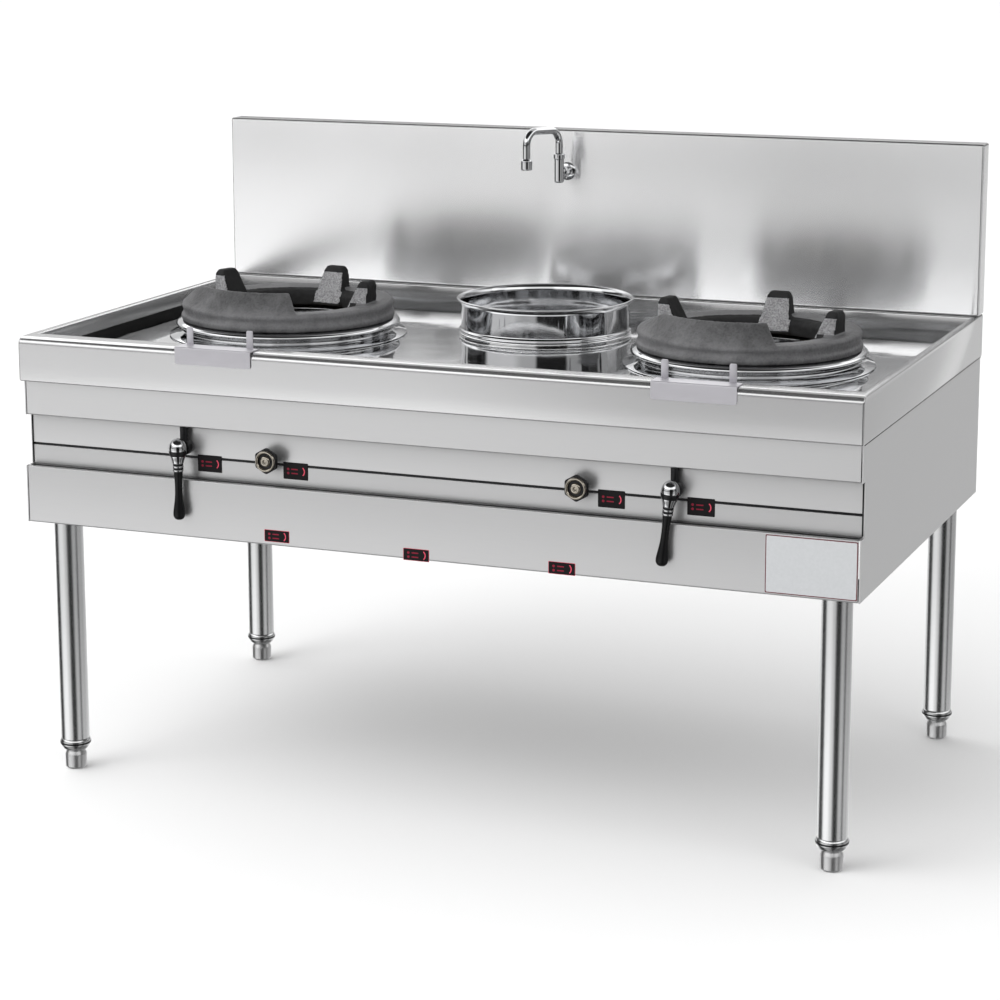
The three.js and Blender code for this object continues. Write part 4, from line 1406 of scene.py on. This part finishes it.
class WOKRANGE_OT_stage(bpy.types.Operator):
    """Pale floor, soft studio light, surroundings for the reflections, and the camera"""

    bl_idname = "wok_range.stage"
    bl_label = "Studio"

    def floor(self):
        part = bmesh.new()
        bmesh.ops.create_grid(part, x_segments=1, y_segments=1, size=60)
        mesh = bpy.data.meshes.new("studio_floor")
        part.to_mesh(mesh)
        part.free()
        material = bpy.data.materials.new("studio_floor")
        material.use_nodes = True
        recipe = Recipe(material.node_tree)
        tone = recipe.tint(recipe.noise(0.8, 2), "floor", 0.99, 1.01)
        recipe.surface(Base_Color=tone, Roughness=0.9)
        mesh.materials.append(material)
        floor = bpy.data.objects.new("studio_floor", mesh)
        bpy.context.scene.collection.objects.link(floor)
        floor.visible_glossy = False

    def surroundings(self, context):
        """White to the camera, a softbox at the left for the light, and in reflections a bright
        ceiling, brightest at the front, over a horizon with dark uprights.
        """
        world = bpy.data.worlds.new("studio")
        context.scene.world = world
        world.use_nodes = True
        recipe = Recipe(world.node_tree)
        direction = recipe.node("ShaderNodeTexCoord").output("Generated")
        axes = recipe.node("ShaderNodeSeparateXYZ", sockets={"Vector": direction})
        level = axes.output("Z") * 0.5 + 0.5
        round_about = axes.output("Y").math("ARCTAN2", axes.output("X")) * (1 / TURN) + 0.5
        uprights = recipe.ramp(
            round_about,
            (0.0, 0.04), (0.056, 0.04), (0.072, 1.0), (0.185, 1.0), (0.22, 0.68), (0.268, 0.68),
            (0.28, 0.02), (0.385, 0.02), (0.395, 0.5), (0.472, 0.5), (0.482, 0.05),
            (0.515, 0.05), (0.525, 0.5), (0.64, 0.42), (0.65, 0.6), (0.72, 0.62), (0.74, 0.9),
            (0.93, 0.9), (0.945, 0.04), (1.0, 0.04),
        )
        lit = recipe.ramp(
            level, (0.15, 0.3), (0.22, 1), (0.29, 1), (0.34, 0.68), (0.49, 0.68), (0.505, 0.07),
            (0.535, 0.07), (0.55, 0.55), (0.79, 0.55), (0.83, 0.0),
        )
        ceiling = recipe.ramp(level, (0.64, 0), (0.68, 0.9), (0.79, 0.9), (0.83, 0.02))
        rear = recipe.ramp(axes.output("Y"), (0.12, 0), (0.3, 1))
        rear_ceiling = rear * recipe.ramp(level, (0.8, 0), (0.85, 0.42))
        pattern = (uprights * lit + ceiling + rear_ceiling) * 1.5
        softbox = recipe.ramp(
            round_about,
            (0.0, 0.95), (0.18, 1.0), (0.36, 0.45), (0.5, 0.2), (0.7, 0.25), (0.88, 0.7),
            (1.0, 0.95),
        )
        path = recipe.node("ShaderNodeLightPath")
        shown = recipe.blend(path.output("Is Diffuse Ray"), pattern, softbox * 2.0)
        shown = recipe.blend(path.output("Is Camera Ray"), shown, (1.25, 1.25, 1.25, 1))
        glow = recipe.node("ShaderNodeBackground", sockets={"Color": shown, "Strength": 1.0})
        recipe.node("ShaderNodeOutputWorld", sockets={"Surface": glow})

    def lamp(self, name, place, aim, width, power):
        data = bpy.data.lights.new(name, "AREA")
        data.shape = "RECTANGLE"
        data.size, data.size_y = width
        data.energy = power
        lamp = bpy.data.objects.new(name, data)
        bpy.context.scene.collection.objects.link(lamp)
        lamp.visible_glossy = False
        lamp.location = place
        lamp.rotation_euler = (Vector(aim) - Vector(place)).to_track_quat("-Z", "Y").to_euler()

    def camera(self, context):
        view = context.scene.wok_range_camera
        level = math.cos(view.pitch)
        forward = Vector(
            (-math.sin(view.yaw) * level, math.cos(view.yaw) * level, -math.sin(view.pitch))
        )
        right = Vector((math.cos(view.yaw), math.sin(view.yaw), 0))
        up = right.cross(forward)
        lean, tip = math.cos(view.roll), math.sin(view.roll)
        right, up = right * lean + up * tip, up * lean - right * tip
        data = bpy.data.cameras.new("studio_camera")
        data.lens = view.lens
        data.sensor_width = 36
        data.shift_y = view.shift
        data.clip_end = 200
        camera = bpy.data.objects.new("studio_camera", data)
        context.scene.collection.objects.link(camera)
        turn = Matrix((right, up, -forward)).transposed().to_4x4()
        place = Vector(view.target) - forward * view.distance
        camera.matrix_world = Matrix.Translation(place) @ turn
        context.scene.camera = camera

    def execute(self, context):
        self.floor()
        self.surroundings(context)
        self.lamp("key_light", (-3.0, -3.5, 4.0), (0, 0, 0.7), (3.0, 2.0), 60)
        self.lamp("fill_light", (4.0, -2.0, 3.0), (0, 0, 0.6), (2.5, 2.5), 20)
        self.camera(context)
        context.scene.view_settings.view_transform = "Standard"
        return {"FINISHED"}


# ---- Panel and start ----

SETTINGS = {
    "wok_range_sizes": WokRangeSizes,
    "wok_range_colours": WokRangeColours,
    "wok_range_camera": WokRangeCamera,
}
OPERATORS = (
    WOKRANGE_OT_rim,
    WOKRANGE_OT_rim_rests,
    WOKRANGE_OT_deck,
    WOKRANGE_OT_front_sheets,
    WOKRANGE_OT_plain_sheets,
    WOKRANGE_OT_legs,
    WOKRANGE_OT_burner_collars,
    WOKRANGE_OT_wok_rings,
    WOKRANGE_OT_burners,
    WOKRANGE_OT_gas_train,
    WOKRANGE_OT_levers,
    WOKRANGE_OT_pilot_keys,
    WOKRANGE_OT_soup_pot,
    WOKRANGE_OT_splashback,
    WOKRANGE_OT_tap,
    WOKRANGE_OT_plates,
    WOKRANGE_OT_screws,
    WOKRANGE_OT_stage,
)


class WOKRANGE_PT_pieces(bpy.types.Panel):
    """Lists the pieces of the range and the studio"""

    bl_idname = "WOKRANGE_PT_pieces"
    bl_label = "Wok range"
    bl_space_type = "VIEW_3D"
    bl_region_type = "UI"
    bl_category = "Wok range"

    def draw(self, context):
        for operator in OPERATORS:
            self.layout.operator(operator.bl_idname)
        for group in SETTINGS:
            settings = getattr(context.scene, group)
            box = self.layout.box()
            for name in settings.bl_rna.properties.keys():
                if name not in {"rna_type", "name"}:
                    box.prop(settings, name)


CLASSES = (*SETTINGS.values(), *OPERATORS, WOKRANGE_PT_pieces)


def register():
    for cls in CLASSES:
        bpy.utils.register_class(cls)
    for name, group in SETTINGS.items():
        setattr(bpy.types.Scene, name, PointerProperty(type=group))


def unregister():
    for name in SETTINGS:
        delattr(bpy.types.Scene, name)
    for cls in reversed(CLASSES):
        bpy.utils.unregister_class(cls)


def main():
    register()
    for operator in OPERATORS:
        group, name = operator.bl_idname.split(".")
        getattr(getattr(bpy.ops, group), name)()


if __name__ == "__main__":
    main()
